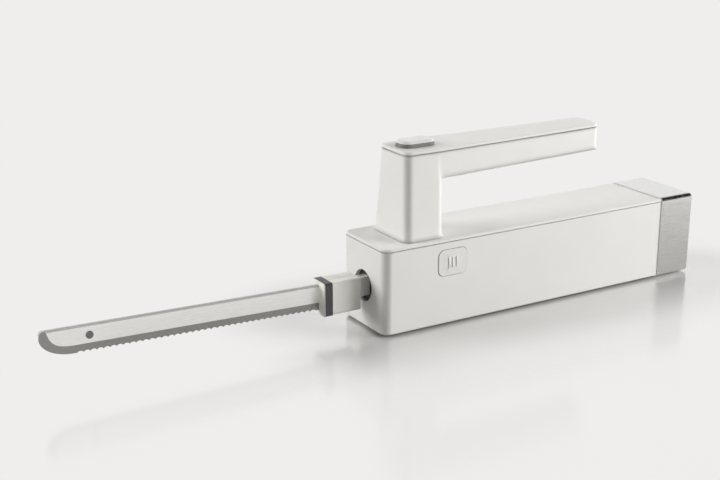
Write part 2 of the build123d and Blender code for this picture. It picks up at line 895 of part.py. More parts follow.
with BuildPart() as handle_cover:
    with BuildSketch(Plane.XY.offset(handle_line)):
        handle_plan(0, grip_top_front)
        fillet(vertices().group_by(Axis.X)[0], post_corner)
    extrude(amount=handle_cover_thickness)
    fillet(handle_cover.edges().group_by(Axis.Z)[-1], lid_edge)
    cut_handle_seam()
    with BuildSketch(Plane.XY.offset(handle_line)):
        with Locations(*grip_screw_places()):
            Circle(grip_boss_radius)
    extrude(amount=grip_floor + grip_rise + fit_gap - handle_line)
    with BuildSketch(Plane.XY.offset(handle_line)):
        with Locations(*grip_screw_places()):
            Circle(screw_thread_hole)
    extrude(amount=grip_floor - handle_line, mode=Mode.SUBTRACT)
    with BuildSketch(Plane.XY.offset(handle_line)):
        with Locations((along(trigger_spring_station), 0)):
            Circle(trigger_spring_radius + spring_wire)
    extrude(amount=-trigger_spring_boss)
    with BuildSketch(Plane.XY.offset(handle_line)):
        oblong(lock_length + 2 * sliding_gap, lock_width + 2 * sliding_gap)
    extrude(amount=handle_cover_thickness, mode=Mode.SUBTRACT)
finish(handle_cover, "handle_cover")

with BuildPart() as handle_screws:
    with BuildSketch(Plane.XY.offset(lid_line)):
        with Locations(*post_screw_places()):
            Circle(screw_head_radius)
    extrude(amount=-screw_head_height)
    with BuildSketch(Plane.XY.offset(lid_line)):
        with Locations(*post_screw_places()):
            Circle(screw_radius)
    extrude(amount=lid_thickness + post_boss_height - 2 * overrun)
    with BuildSketch(Plane.XY.offset(grip_bottom + screw_head_height)):
        with Locations(*grip_screw_places()):
            Circle(screw_head_radius)
    extrude(amount=-screw_head_height / 2)
    with BuildSketch(Plane.XY.offset(grip_bottom + screw_head_height)):
        with Locations(*grip_screw_places()):
            Circle(screw_radius)
    extrude(amount=handle_line - overrun - grip_bottom - screw_head_height)
finish(handle_screws, "handle_screws")

# Lock button and its spring

with BuildPart() as lock_button:
    with BuildSketch(Plane.XY.offset(lock_flange_top)):
        oblong(lock_length, lock_width)
    extrude(amount=handle_height + lock_rise - lock_flange_top)
    fillet(lock_button.edges().group_by(Axis.Z)[-1], lock_edge)
    with BuildSketch(Plane.XY.offset(lock_flange_bottom)):
        oblong(lock_length + 2 * lock_flange_spread, lock_width + 2 * lock_flange_spread)
    extrude(amount=lock_flange_thickness)
    with BuildSketch(Plane.XY.offset(lock_flange_bottom)):
        with Locations((along(lock_station), 0)):
            Circle(lock_stem_radius)
    extrude(amount=-lock_stem_length)
finish(lock_button, "lock_button")

lock_coil = coil_spring((along(lock_station), 0, grip_floor), (0, 0, 1), lock_flange_bottom - grip_floor,
                        lock_spring_radius)

with BuildPart() as lock_spring:
    add(lock_coil)
finish(lock_spring, "lock_spring")

# Trigger, its pin and its spring

trigger_bottom = grip_bottom - trigger_drop
trigger_top = grip_floor + sliding_gap + trigger_lip
trigger_width_half = trigger_width / 2

with BuildPart() as trigger:
    with BuildSketch(Plane.XZ):
        with BuildLine():
            Polyline((along(trigger_front), trigger_top), (along(trigger_front), trigger_bottom),
                     (along(trigger_flat_rear), trigger_bottom),
                     (along(trigger_slot_rear - trigger_slot_gap), grip_floor),
                     (along(trigger_pivot_station), pivot_level - trigger_boss_radius),
                     (along(trigger_pivot_station), pivot_level),
                     (along(trigger_pivot_station - trigger_boss_radius), trigger_top), close=True)
        make_face()
        fillet(vertices().group_by(Axis.X)[0].sort_by(Axis.Y)[0], trigger_nose)
        with Locations((along(trigger_pivot_station), pivot_level)):
            Circle(trigger_boss_radius)
    extrude(amount=trigger_width_half, both=True)
    with BuildSketch(Plane.XZ):
        with Locations((along(trigger_front), grip_floor + sliding_gap + trigger_lip / 2)):
            Rectangle(2 * trigger_lip, trigger_lip)
    extrude(amount=trigger_width_half, both=True)
    with BuildSketch(Plane.XZ):
        with Locations((along(trigger_pivot_station), pivot_level)):
            Circle(trigger_pin_radius + running_gap)
    extrude(amount=trigger_width_half, both=True, mode=Mode.SUBTRACT)
    chamfer(trigger.edges().filter_by(Axis.X).group_by(Axis.Z)[0], seam_height)
finish(trigger, "trigger")

with BuildPart() as trigger_pin:
    with BuildSketch(Plane.XZ):
        with Locations((along(trigger_pivot_station), pivot_level)):
            Circle(trigger_pin_radius)
    extrude(amount=ear_faces + ear_thickness, both=True)
finish(trigger_pin, "trigger_pin")

trigger_coil = coil_spring((along(trigger_spring_station), 0, trigger_top), (0, 0, 1),
                           handle_line - trigger_spring_boss - trigger_top, trigger_spring_radius)

with BuildPart() as trigger_spring:
    add(trigger_coil)
finish(trigger_spring, "trigger_spring")

# Microswitch and its leads

switch_bottom = handle_line - switch_drop

with BuildPart() as microswitch:
    with BuildSketch(Plane.XY.offset(switch_bottom)):
        with Locations((along(switch_front + switch_length / 2), 0)):
            Rectangle(switch_length, switch_width)
    extrude(amount=switch_drop)
    with BuildSketch(Plane.XY.offset(switch_bottom)):
        with Locations((along(switch_front + switch_width / 2), 0)):
            Circle(plunger_radius)
    extrude(amount=-plunger_length)
    chamfer(microswitch.edges().filter_by(Axis.Z), seam_height)
finish(microswitch, "microswitch")

lead_level = lid_line - seam_depth - lead_radius
lead_start = switch_bottom + switch_drop / 4
lead_end = along(terminal_front + terminal_length / 2)

with BuildPart() as switch_leads:
    with BuildLine(Plane.XZ) as lead_path:
        FilletPolyline((along(switch_front), lead_start), (along(lead_station), lead_start),
                       (along(lead_station), lead_level), (lead_end, lead_level),
                       (lead_end, tub_floor + terminal_height), radius=lead_bend)
    with BuildSketch(Plane.YZ.offset(along(switch_front))):
        with Locations((0, lead_start)):
            Circle(lead_radius)
    sweep()
finish(switch_leads, "switch_leads")

# Guide behind the blade opening

with BuildPart() as blade_guide:
    with BuildSketch(Plane.YZ.offset(along(front_wall))):
        with Locations((0, port_height)):
            RectangleRounded(guide_size, guide_size, guide_corner)
            Rectangle(2 * (tang_half_width + guide_gap), tang_height + 2 * guide_gap, mode=Mode.SUBTRACT)
    extrude(amount=guide_thickness)
finish(blade_guide, "blade_guide")


def ahead(distance):
    """X of a place so far in front of the housing's front face."""
    return front_x - distance


# Blades

cant = radians(blade_cant)
blade_direction = Vector(-cos(cant), 0, sin(cant))
blade_up = Vector(sin(cant), 0, cos(cant))
blade_root = Vector(ahead(blade_root_station), 0, blade_root_bottom)
blade_length = (blade_tip_station - blade_root_station) / cos(cant)
blade_outer = blade_gap + blade_thickness
rivet_point = blade_root + blade_direction * (blade_length - rivet_setback) + blade_up * rivet_height
tooth_chord = (tooth_pitch - tooth_land) / 2
tooth_radius = (tooth_chord ** 2 + tooth_depth ** 2) / (2 * tooth_depth)
teeth_start = shank_front + collar_length - blade_root_station + tooth_pitch
teeth_end = blade_length - blade_tip_curve_length
tooth_count = int((teeth_end - teeth_start) / tooth_pitch)


def blade_plane(distance):
    """Plane of a blade face: its x runs to the tip and its y up the blade."""
    origin = blade_root + Vector(0, distance, 0)
    return Plane(origin=origin, x_dir=blade_direction, z_dir=(0, 1, 0))


def blade_solid(side):
    """One flat blade with its toothed lower edge and its ground band on the outer face."""
    with BuildPart() as body:
        with BuildSketch(blade_plane(side * blade_gap)):
            with BuildLine():
                curve_start = (blade_length - blade_tip_curve_length, 0)
                curve_end = (blade_length, blade_tip_curve_height)
                EllipticalCenterArc((curve_start[0], curve_end[1]), blade_tip_curve_length,
                                    blade_tip_curve_height, start_angle=-degrees(pi / 2),
                                    arc_size=degrees(pi / 2))
                Polyline(curve_end, (blade_length, blade_tip_height), (0, blade_root_height), (0, 0),
                         curve_start)
            make_face()
            tip = vertices().group_by(Axis.X)[-1].sort_by(Axis.Y)
            fillet(tip[-1], blade_tip_top_corner)
            for i in range(tooth_count):
                with Locations((teeth_start + i * tooth_pitch, tooth_depth - tooth_radius)):
                    Circle(tooth_radius, mode=Mode.SUBTRACT)
        extrude(amount=side * blade_thickness)
        with BuildSketch(Plane(origin=blade_root, x_dir=(0, side, 0), z_dir=blade_direction)):
            with BuildLine():
                flank = (blade_thickness - edge_thickness) / bevel_height
                Polyline((blade_outer, -side * bevel_height), (blade_outer + overrun, -side * bevel_height),
                         (blade_outer + overrun, side * overrun),
                         (blade_gap + edge_thickness - flank * overrun, side * overrun), close=True)
            make_face()
        extrude(amount=blade_length, mode=Mode.SUBTRACT)
    return body.part


left_plate = blade_solid(left)
right_plate = blade_solid(right)

with BuildPart() as left_blade:
    add(left_plate)
    with BuildSketch(Plane.XZ):
        with Locations((rivet_point.X, rivet_point.Z)):
            Circle(rivet_radius)
    extrude(amount=body_width, both=True, mode=Mode.SUBTRACT)
finish(left_blade, "left_blade")

with BuildPart() as right_blade:
    add(right_plate)
    with BuildSketch(Plane.XZ):
        with Locations((rivet_point.X, rivet_point.Z)):
            SlotOverall(4 * stroke + 2 * (rivet_radius + sliding_gap), 2 * (rivet_radius + sliding_gap))
    extrude(amount=body_width, both=True, mode=Mode.SUBTRACT)
finish(right_blade, "right_blade")

with BuildPart() as tip_rivet:
    with BuildSketch(Plane.XZ.offset(blade_outer + rivet_head_height)):
        with Locations((rivet_point.X, rivet_point.Z)):
            Circle(rivet_head_radius)
    extrude(amount=-rivet_head_height)
    fillet(tip_rivet.edges().group_by(Axis.Y)[0], rivet_head_height / 2)
    with BuildSketch(Plane.XZ.offset(blade_outer)):
        with Locations((rivet_point.X, rivet_point.Z)):
            Circle(rivet_radius)
    extrude(amount=-(2 * blade_outer + rivet_washer_gap))
    with BuildSketch(Plane.XZ.offset(-blade_outer - rivet_washer_gap)):
        with Locations((rivet_point.X, rivet_point.Z)):
            Circle(rivet_head_radius)
    extrude(amount=-rivet_head_height)
finish(tip_rivet, "tip_rivet")

# Blade shanks and collars, one half for each blade

shank_top = shank_bottom + shank_height


def half_section(side, inner, outer, bottom, top, corner):
    """Section of one half of the shank, with its two outer corners rounded."""
    with Locations((side * (inner + outer) / 2, (bottom + top) / 2)):
        Rectangle(outer - inner, top - bottom)
    order = vertices().group_by(Axis.X)
    fillet(order[-1] if side == right else order[0], corner)


for name, side in sides:
    blade = left_blade if side == left else right_blade
    with BuildPart() as blade_shank:
        with BuildSketch(Plane.YZ.offset(ahead(shank_front))):
            half_section(side, shank_split, shank_half_width, shank_bottom, shank_top, shank_edge)
        extrude(amount=shank_front - shank_rear)
        with BuildSketch(Plane.YZ.offset(ahead(shank_rear))):
            half_section(side, shank_split, shank_half_width, shank_bottom, shank_top, shank_edge)
        with BuildSketch(Plane.YZ.offset(ahead(shank_neck_front))):
            half_section(side, shank_split, tang_half_width, tang_bottom, tang_top, shank_edge / 2)
        loft(ruled=True)
        with BuildSketch(Plane.YZ.offset(ahead(shank_neck_front))):
            half_section(side, shank_split, tang_half_width, tang_bottom, tang_top, shank_edge / 2)
        extrude(amount=shank_neck_front + tang_end)
        with BuildSketch(Plane.XZ):
            with Locations((along(notch_front + notch_length / 2), tang_top - notch_depth / 2 + overrun / 2)):
                Rectangle(notch_length, notch_depth + overrun)
        extrude(amount=body_width, both=True, mode=Mode.SUBTRACT)
        add(blade.part, mode=Mode.SUBTRACT)
    finish(blade_shank, f"{name}_blade_shank")
    with BuildPart() as collar:
        with BuildSketch(Plane.YZ.offset(ahead(shank_front))):
            half_section(side, shank_split, shank_half_width + collar_spread, shank_bottom - collar_spread,
                         shank_top + collar_spread, shank_edge)
        extrude(amount=-collar_length)
        add(blade.part, mode=Mode.SUBTRACT)
    finish(collar, f"{name}_collar")

# Blade carriers with their latch leaves

yoke_bottom = wheel_height - yoke_half_height
yoke_top = wheel_height + yoke_half_height
socket_outer = tang_half_width + carrier_play
yoke_outer = yoke_inner + yoke_thickness


def block(side, x_from, x_to, inner, outer, bottom, top, mode=Mode.ADD):
    """A square block on one side of the middle, from one place to another."""
    middle = ((x_from + x_to) / 2, side * (inner + outer) / 2, (bottom + top) / 2)
    with Locations(middle):
        Box(x_to - x_from, outer - inner, top - bottom, mode=mode)


for name, side in sides:
    with BuildPart() as carrier:
        block(side, along(carrier_front), along(carrier_rear), carrier_split, carrier_outer, carrier_bottom,
              carrier_top)
        block(side, along(carrier_front) - overrun, along(socket_end), carrier_split - overrun, socket_outer,
              tang_bottom - carrier_play, tang_top + carrier_play, Mode.SUBTRACT)
        block(side, along(bridge_front), along(carrier_rear), carrier_split, yoke_outer, carrier_bottom,
              yoke_top)
        block(side, along(bridge_front), along(yoke_rear), yoke_inner, yoke_outer, yoke_bottom, yoke_top)
        with BuildSketch(side_plane(side, yoke_inner - overrun)):
            with Locations((along(gear_station), wheel_height)):
                SlotOverall(2 * (stroke + crank_pin_radius + pin_slot_gap),
                            2 * (crank_pin_radius + pin_slot_gap), rotation=90)
        extrude(amount=outward(side, yoke_thickness + 2 * overrun), mode=Mode.SUBTRACT)
        block(side, along(leaf_front) - sliding_gap, along(leaf_front) + leaf_nose_length + sliding_gap,
              carrier_split - overrun, socket_outer, tang_top, carrier_top + overrun, Mode.SUBTRACT)
    finish(carrier, f"{name}_carrier")
    with BuildPart() as latch_leaf:
        leaf_top = carrier_top + leaf_thickness
        tab_bottom = carrier_top + leaf_tab_rise
        tab_rear = along(leaf_tab_front + leaf_tab_length)
        block(side, along(leaf_front), along(carrier_rear - overrun), leaf_inner, leaf_outer, carrier_top,
              leaf_top)
        block(side, along(leaf_front), along(leaf_front) + leaf_nose_length, leaf_inner,
              socket_outer - sliding_gap, tang_top + leaf_nose_gap, leaf_top)
        block(side, along(leaf_tab_front), tab_rear, leaf_outer - leaf_thickness, leaf_outer, carrier_top,
              tab_bottom + leaf_thickness)
        block(side, along(leaf_tab_front), tab_rear, leaf_outer - leaf_thickness, leaf_outer + leaf_tab_reach,
              tab_bottom, tab_bottom + leaf_thickness)
    finish(latch_leaf, f"{name}_latch_leaf")

# Release buttons and their springs

button_inner = inner_half_width - sliding_gap
button_back = button_inner - button_flange
stem_level = button_height - stem_drop
spring_level = button_height + release_spring_rise
spring_seat = spring_rib_inner + spring_rib_thickness

for name, side in sides:
    with BuildPart() as release_button:
        with BuildSketch(side_plane(side, button_inner)):
            with Locations((along(button_station), button_height)):
                RectangleRounded(button_length, button_tall, button_corner)
        extrude(amount=outward(side, half_width + button_proud - button_inner))
        outer_edges = release_button.edges().group_by(Axis.Y)[0 if side == left else -1]
        fillet(outer_edges, button_edge)
        with BuildSketch(side_plane(side, half_width + button_proud)):
            with Locations((along(button_station), button_height)):
                with GridLocations(button_rib_pitch, button_rib_pitch, button_rib_count, 1):
                    SlotOverall(button_rib_length, button_rib_width, rotation=90)
        extrude(amount=outward(side, button_rib_depth))
        with BuildSketch(side_plane(side, button_back)):
            with Locations((along(button_station), button_height)):
                RectangleRounded(button_length + 2 * button_flange_spread,
                                 button_tall + 2 * button_flange_spread, button_corner + button_flange_spread)
        extrude(amount=outward(side, button_flange))
        block(side, along(button_station - stem_length / 2), along(button_station + stem_length / 2),
              stem_tip, button_back, stem_level - stem_height / 2, stem_level + stem_height / 2)
    finish(release_button, f"{name}_release_button")
    release_coil = coil_spring((along(button_station), side * spring_seat, spring_level), (0, side, 0),
                               button_back - spring_seat, release_spring_radius)
    with BuildPart() as release_spring:
        add(release_coil)
    finish(release_spring, f"{name}_release_spring")

# Gear frame with the slide bed of the carriers

gear_x = along(gear_station)
frame_outer = frame_wall_inner + frame_wall
frame_floor = tub_floor + frame_base
frame_top = motor_height + frame_top_margin
frame_front_end = along(frame_front)
frame_rear_end = along(frame_rear)

with BuildPart() as gear_frame:
    with BuildSketch(Plane.XY.offset(tub_floor)):
        with Locations(((along(frame_bed_front) + frame_rear_end) / 2, 0)):
            Rectangle(frame_rear_end - along(frame_bed_front), 2 * frame_outer)
    extrude(amount=frame_base)
    with BuildSketch(Plane.XY.offset(frame_floor)):
        with Locations(((frame_front_end + frame_rear_end) / 2, 0)):
            Rectangle(frame_rear_end - frame_front_end, 2 * frame_outer)
        with Locations(((frame_front_end + frame_wall + frame_rear_end - frame_rear_wall) / 2, 0)):
            Rectangle(frame_rear_end - frame_rear_wall - frame_front_end - frame_wall, 2 * frame_wall_inner,
                      mode=Mode.SUBTRACT)
    extrude(amount=frame_top - frame_floor)
    for side in (left, right):
        block(side, along(frame_bed_front), along(frame_bed_rear), bed_rib_inner, bed_rib_outer, frame_floor,
              carrier_bottom - sliding_gap)
    with BuildSketch(Plane.YZ.offset(frame_front_end)):
        with Locations((0, motor_height)):
            Circle(bush_radius)
    extrude(amount=frame_wall, mode=Mode.SUBTRACT)
    with BuildSketch(Plane.YZ.offset(frame_rear_end)):
        with Locations((0, motor_height)):
            Circle(worm_window_radius)
    extrude(amount=-frame_rear_wall, mode=Mode.SUBTRACT)
    with BuildSketch(Plane.XZ):
        with Locations((gear_x, wheel_height)):
            Circle(bush_radius)
    extrude(amount=body_width / 2, both=True, mode=Mode.SUBTRACT)
finish(gear_frame, "gear_frame")

# Bushes of the wheel's shaft

with BuildPart() as gear_bushes:
    for side in (left, right):
        with BuildSketch(side_plane(side, frame_wall_inner - bush_overhang)):
            with Locations((gear_x, wheel_height)):
                Circle(bush_radius)
                Circle(wheel_shaft_radius + running_gap, mode=Mode.SUBTRACT)
        extrude(amount=outward(side, frame_wall + 2 * bush_overhang))
finish(gear_bushes, "gear_bushes")

# Worm wheel, shaft and cranks

tooth_slope = tan(radians(pressure_angle))
wheel_root = wheel_pitch_radius - tooth_dedendum
wheel_tip = wheel_pitch_radius + tooth_addendum


def tooth_half(height):
    """Half the thickness of a tooth at a height above the pitch line."""
    return tooth_thickness / 2 - height * tooth_slope


def wheel_points(twist):
    """Outline of the worm wheel, turned so that a tooth stands at the top when the twist is 0."""
    points = []
    for i in range(wheel_teeth):
        middle = pi / 2 - twist + i * 2 * pi / wheel_teeth
        root_angle = tooth_half(-tooth_dedendum) / wheel_root
        tip_angle = tooth_half(tooth_addendum) / wheel_tip
        for radius, angle in ((wheel_root, -root_angle), (wheel_tip, -tip_angle), (wheel_tip, tip_angle),
                              (wheel_root, root_angle)):
            points.append((radius * cos(middle + angle), radius * sin(middle + angle)))
    return points


with BuildPart() as drive_gear:
    for y in (-wheel_half_width, 0, wheel_half_width):
        with BuildSketch(Plane(origin=(gear_x, y, wheel_height), x_dir=(1, 0, 0), z_dir=(0, -1, 0))):
            with BuildLine():
                Polyline(*wheel_points(y * lead_angle_slope / wheel_pitch_radius), close=True)
            make_face()
    loft(ruled=True)
    with BuildSketch(Plane.XZ):
        with Locations((gear_x, wheel_height)):
            Circle(hub_radius)
    extrude(amount=hub_half_width, both=True)
    with BuildSketch(Plane.XZ):
        with Locations((gear_x, wheel_height)):
            Circle(wheel_shaft_radius)
    extrude(amount=hub_half_width, both=True, mode=Mode.SUBTRACT)
finish(drive_gear, "drive_gear")

with BuildPart() as gear_shaft:
    with BuildSketch(Plane.XZ):
        with Locations((gear_x, wheel_height)):
            Circle(wheel_shaft_radius)
    extrude(amount=crank_outer, both=True)
finish(gear_shaft, "gear_shaft")

for name, side in sides:
    with BuildPart() as crank:
        with BuildSketch(side_plane(side, crank_inner)):
            with Locations((gear_x, wheel_height)):
                Circle(crank_disc_radius)
                Circle(wheel_shaft_radius, mode=Mode.SUBTRACT)
        extrude(amount=outward(side, crank_thickness))
        with BuildSketch(side_plane(side, crank_outer)):
            with Locations((gear_x, wheel_height - side * stroke)):
                Circle(crank_pin_radius)
        extrude(amount=outward(side, pin_end - crank_outer))
    finish(crank, f"{name}_crank")

# Worm on the front end of the motor shaft

axial_pitch = worm_lead / worm_starts
thread_span = 2 * int(worm_length / 2 / axial_pitch) - 1
thread_start = gear_x - axial_pitch * thread_span / 2
worm_root = worm_pitch_radius - tooth_dedendum
worm_axis = Plane(origin=(thread_start, 0, motor_height), x_dir=(0, 0, -1), z_dir=(1, 0, 0))
thread_path = Helix(pitch=worm_lead, height=axial_pitch * thread_span, radius=worm_pitch_radius)
thread_foot = tooth_dedendum + running_gap
thread_profile = make_face(Polyline(
    (worm_pitch_radius - thread_foot, 0, -tooth_half(-thread_foot)),
    (worm_pitch_radius + tooth_addendum, 0, -tooth_half(tooth_addendum)),
    (worm_pitch_radius + tooth_addendum, 0, tooth_half(tooth_addendum)),
    (worm_pitch_radius - thread_foot, 0, tooth_half(-thread_foot)), close=True))
thread = sweep(thread_profile, path=thread_path, is_frenet=True)

with BuildPart() as worm:
    with BuildSketch(Plane.YZ.offset(gear_x - worm_length / 2)):
        with Locations((0, motor_height)):
            Circle(worm_root)
    extrude(amount=worm_length)
    for start in range(worm_starts):
        turned = worm_axis.location * Location((0, 0, 0), (0, 0, start * degrees(2 * pi) / worm_starts))
        add(turned * thread)
    with BuildSketch(Plane.YZ.offset(gear_x - worm_length / 2)):
        with Locations((0, motor_height)):
            Circle(shaft_nose_radius)
    extrude(amount=worm_length, mode=Mode.SUBTRACT)
finish(worm, "worm")

# Motor shaft and its three plain bearings

front_bearing_front = frame_rear_end + bracket_thickness - overrun
rear_bearing_front = along(rear_bracket_front) + overrun
stator_front_end = along(stator_front)
stator_rear_end = stator_front_end + stator_length
commutator_front_end = along(commutator_front)


def ring(x_from, x_to, outer, inner):
    """A ring about the motor's axis, from one place to another."""
    with BuildSketch(Plane.YZ.offset(x_from)) as face:
        with Locations((0, motor_height)):
            Circle(outer)
            if inner:
                Circle(inner, mode=Mode.SUBTRACT)
    extrude(face.sketch, amount=x_to - x_from)


with BuildPart() as nose_bearing:
    ring(frame_front_end, frame_front_end + frame_wall + bush_overhang, bush_radius,
         shaft_nose_radius + running_gap)
finish(nose_bearing, "nose_bearing")

with BuildPart() as front_bearing:
    ring(front_bearing_front, front_bearing_front + bearing_length, bearing_radius,
         shaft_journal_radius + running_gap)
finish(front_bearing, "front_bearing")

with BuildPart() as rear_bearing:
    ring(rear_bearing_front, rear_bearing_front + bearing_length, bearing_radius,
         shaft_journal_radius + running_gap)
finish(rear_bearing, "rear_bearing")

journal_front = gear_x + worm_length / 2 + overrun
shaft_front = front_bearing_front + bearing_length + sliding_gap
shaft_rear = rear_bearing_front - sliding_gap

with BuildPart() as armature_shaft:
    ring(frame_front_end, journal_front, shaft_nose_radius, 0)
    ring(journal_front, shaft_front, shaft_journal_radius, 0)
    ring(shaft_front, shaft_rear, shaft_radius, 0)
    ring(shaft_rear, rear_bearing_front + bearing_length, shaft_journal_radius, 0)
finish(armature_shaft, "armature_shaft")

# Motor brackets, each with four bosses that reach to the stator


def bracket(plate_front, stator_face, bearing_front, direction):
    """A bracket plate with its bearing boss, its bosses to the stator and its air windows."""
    with BuildPart() as body:
        with BuildSketch(Plane.YZ.offset(plate_front)):
            with Locations((0, (tub_floor + bracket_top) / 2)):
                RectangleRounded(2 * bracket_half_width, bracket_top - tub_floor, bracket_corner)
            with Locations((0, motor_height)):
                with PolarLocations(bracket_window_orbit, 4, start_angle=degrees(pi) / 4):
                    Circle(bracket_window / 2, mode=Mode.SUBTRACT)
        extrude(amount=bracket_thickness)
        boss_base = plate_front if direction < 0 else plate_front + bracket_thickness
        with BuildSketch(Plane.YZ.offset(boss_base)):
            with Locations(*motor_screw_places()):
                Circle(motor_boss_radius)
        extrude(amount=stator_face - boss_base)
        ring(bearing_front - sliding_gap, bearing_front + bearing_length, bearing_boss_radius, 0)
        ring(bearing_front, bearing_front + bearing_length, bearing_radius, 0)
    return body.part


for label, plate_front, stator_face, bearing_front, direction in (
        ("front_bracket", frame_rear_end, stator_front_end, front_bearing_front, 1),
        ("rear_bracket", along(rear_bracket_front), stator_rear_end, rear_bearing_front, -1)):
    body = bracket(plate_front, stator_face, bearing_front, direction)
    with BuildPart() as motor_bracket:
        add(body)
        with BuildSketch(Plane.YZ.offset(bearing_front)):
            with Locations((0, motor_height)):
                Circle(bearing_radius)
        extrude(amount=bearing_length, mode=Mode.SUBTRACT)
        with BuildSketch(Plane.YZ.offset(plate_front - bearing_length)):
            with Locations((0, motor_height)):
                Circle(shaft_radius + sliding_gap)
            with Locations(*motor_screw_places()):
                Circle(screw_hole_radius)
        extrude(amount=body_length, both=True, mode=Mode.SUBTRACT)
    finish(motor_bracket, label)

with BuildPart() as motor_screws:
    with BuildSketch(Plane.YZ.offset(along(rear_bracket_front) + bracket_thickness)):
        with Locations(*motor_screw_places()):
            Circle(screw_head_radius)
    extrude(amount=screw_head_height)
    with BuildSketch(Plane.YZ.offset(along(rear_bracket_front) + bracket_thickness)):
        with Locations(*motor_screw_places()):
            Circle(screw_radius)
    extrude(amount=frame_rear_end - along(rear_bracket_front) - bracket_thickness)
finish(motor_screws, "motor_screws")

# Stator stack and its two field coils


def sector(inner, outer, start, end):
    """A ring sector about the motor's axis, between two angles in degrees."""
    with BuildLine() as outline:
        CenterArc((0, motor_height), inner, start, end - start)
        CenterArc((0, motor_height), outer, start, end - start)
        first = (inner * cos(radians(start)), motor_height + inner * sin(radians(start)))
        last = (inner * cos(radians(end)), motor_height + inner * sin(radians(end)))
        first_out = (outer * cos(radians(start)), motor_height + outer * sin(radians(start)))
        last_out = (outer * cos(radians(end)), motor_height + outer * sin(radians(end)))
        Line(first, first_out)
        Line(last, last_out)
    make_face(outline.edges())


half_turn = degrees(pi)
coil_leg_outer_angle = slot_half_angle - degrees(coil_gap / stator_bore)

with BuildPart() as stator_core:
    with BuildSketch(Plane.YZ.offset(stator_front_end)):
        with Locations((0, motor_height)):
            RectangleRounded(stator_width, stator_height, stator_corner)
            Circle(stator_bore, mode=Mode.SUBTRACT)
        with Locations(*motor_screw_places()):
            Circle(screw_hole_radius, mode=Mode.SUBTRACT)
    extrude(amount=stator_length)
    for turn in (0, half_turn):
        with BuildSketch(Plane.YZ.offset(stator_front_end)):
            sector(stator_bore - running_gap, slot_outer, turn - slot_half_angle, turn + slot_half_angle)
        extrude(amount=stator_length, mode=Mode.SUBTRACT)
finish(stator_core, "stator_core")

coil_inner = stator_bore + coil_gap
coil_outer = slot_outer - coil_gap

for name, turn in (("upper", 0), ("lower", half_turn)):
    with BuildPart() as field_coil:
        for leg in (turn, turn + half_turn - coil_leg_inner_angle - coil_leg_outer_angle):
            with BuildSketch(Plane.YZ.offset(stator_front_end - coil_gap)):
                sector(coil_inner, coil_outer, leg + coil_leg_inner_angle, leg + coil_leg_outer_angle)
            extrude(amount=stator_length + 2 * coil_gap)
        for end_front in (stator_front_end - coil_end_length, stator_rear_end + coil_gap):
            with BuildSketch(Plane.YZ.offset(end_front)):
                sector(coil_inner, coil_outer, turn + coil_leg_inner_angle,
                       turn + half_turn - coil_leg_inner_angle)
            extrude(amount=coil_end_length - coil_gap)
    finish(field_coil, f"{name}_field_coil")

# Armature: stack, windings, commutator and fan


def armature_slot_places():
    """Cut the winding slots, or fill them, on one circle about the axis."""
    reach = armature_radius - armature_slot_depth / 2
    with Locations((0, motor_height)):
        with PolarLocations(reach, armature_slots):
            Rectangle(armature_slot_depth + overrun, armature_slot_width)


with BuildPart() as armature_core:
    ring(stator_front_end, stator_rear_end, armature_radius, shaft_radius)
    with BuildSketch(Plane.YZ.offset(stator_front_end)):
        armature_slot_places()
    extrude(amount=stator_length, mode=Mode.SUBTRACT)
finish(armature_core, "armature_core")

with BuildPart() as armature_windings:
    for face, reach in ((stator_front_end, -winding_overhang), (stator_rear_end, winding_overhang)):
        ring(face, face + reach, winding_end_radius, 0)
    rims = armature_windings.edges().filter_by(GeomType.CIRCLE).sort_by(Axis.X)
    fillet([rims[0], rims[-1]], winding_overhang / 3)
    with BuildSketch(Plane.YZ.offset(stator_front_end)):
        armature_slot_places()
        with Locations((0, motor_height)):
            Circle(winding_end_radius, mode=Mode.INTERSECT)
    extrude(amount=stator_length)
    with BuildSketch(Plane.YZ.offset(stator_front_end - winding_overhang)):
        with Locations((0, motor_height)):
            Circle(shaft_radius)
    extrude(amount=stator_length + 2 * winding_overhang, mode=Mode.SUBTRACT)
finish(armature_windings, "armature_windings")

with BuildPart() as commutator:
    ring(commutator_front_end, commutator_front_end + commutator_length, commutator_radius, shaft_radius)
    with BuildSketch(Plane.YZ.offset(commutator_front_end)):
        with Locations((0, motor_height)):
            with PolarLocations(commutator_radius, commutator_bars):
                Rectangle(2 * commutator_groove_depth, commutator_groove)
    extrude(amount=commutator_length, mode=Mode.SUBTRACT)
finish(commutator, "commutator")

with BuildPart() as cooling_fan:
    ring(along(fan_front), along(fan_front) + fan_length, fan_hub_radius, shaft_radius)
    ring(along(fan_front), along(fan_front) + fan_disc, fan_radius, shaft_radius)
    with BuildSketch(Plane.YZ.offset(along(fan_front))):
        with Locations((0, motor_height)):
            with PolarLocations((fan_radius + fan_hub_radius) / 2, fan_blades):
                Rectangle(fan_radius - fan_hub_radius + overrun, fan_blade_thickness)
            Circle(fan_radius, mode=Mode.INTERSECT)
    extrude(amount=fan_length)
finish(cooling_fan, "cooling_fan")

# Brush gear on the front of the rear bracket

brush_x = along(brush_station)
rear_bracket_x = along(rear_bracket_front)
brush_outer = holder_outer - brush_wall - brush_spring_length
brush_chamber = brush_height / 2 + brush_gap
holder_height = brush_chamber + brush_wall
holder_front_end = brush_x - brush_length / 2 - brush_gap - brush_wall

with BuildPart() as brush_holders:
    for side in (left, right):
        block(side, holder_front_end, rear_bracket_x, holder_inner, holder_outer,
              motor_height - holder_height, motor_height + holder_height)
        block(side, brush_x - brush_length / 2 - brush_gap, brush_x + brush_length / 2 + brush_gap,
              0, holder_outer - brush_wall, motor_height - brush_chamber, motor_height + brush_chamber,
              mode=Mode.SUBTRACT)
finish(brush_holders, "brush_holders")

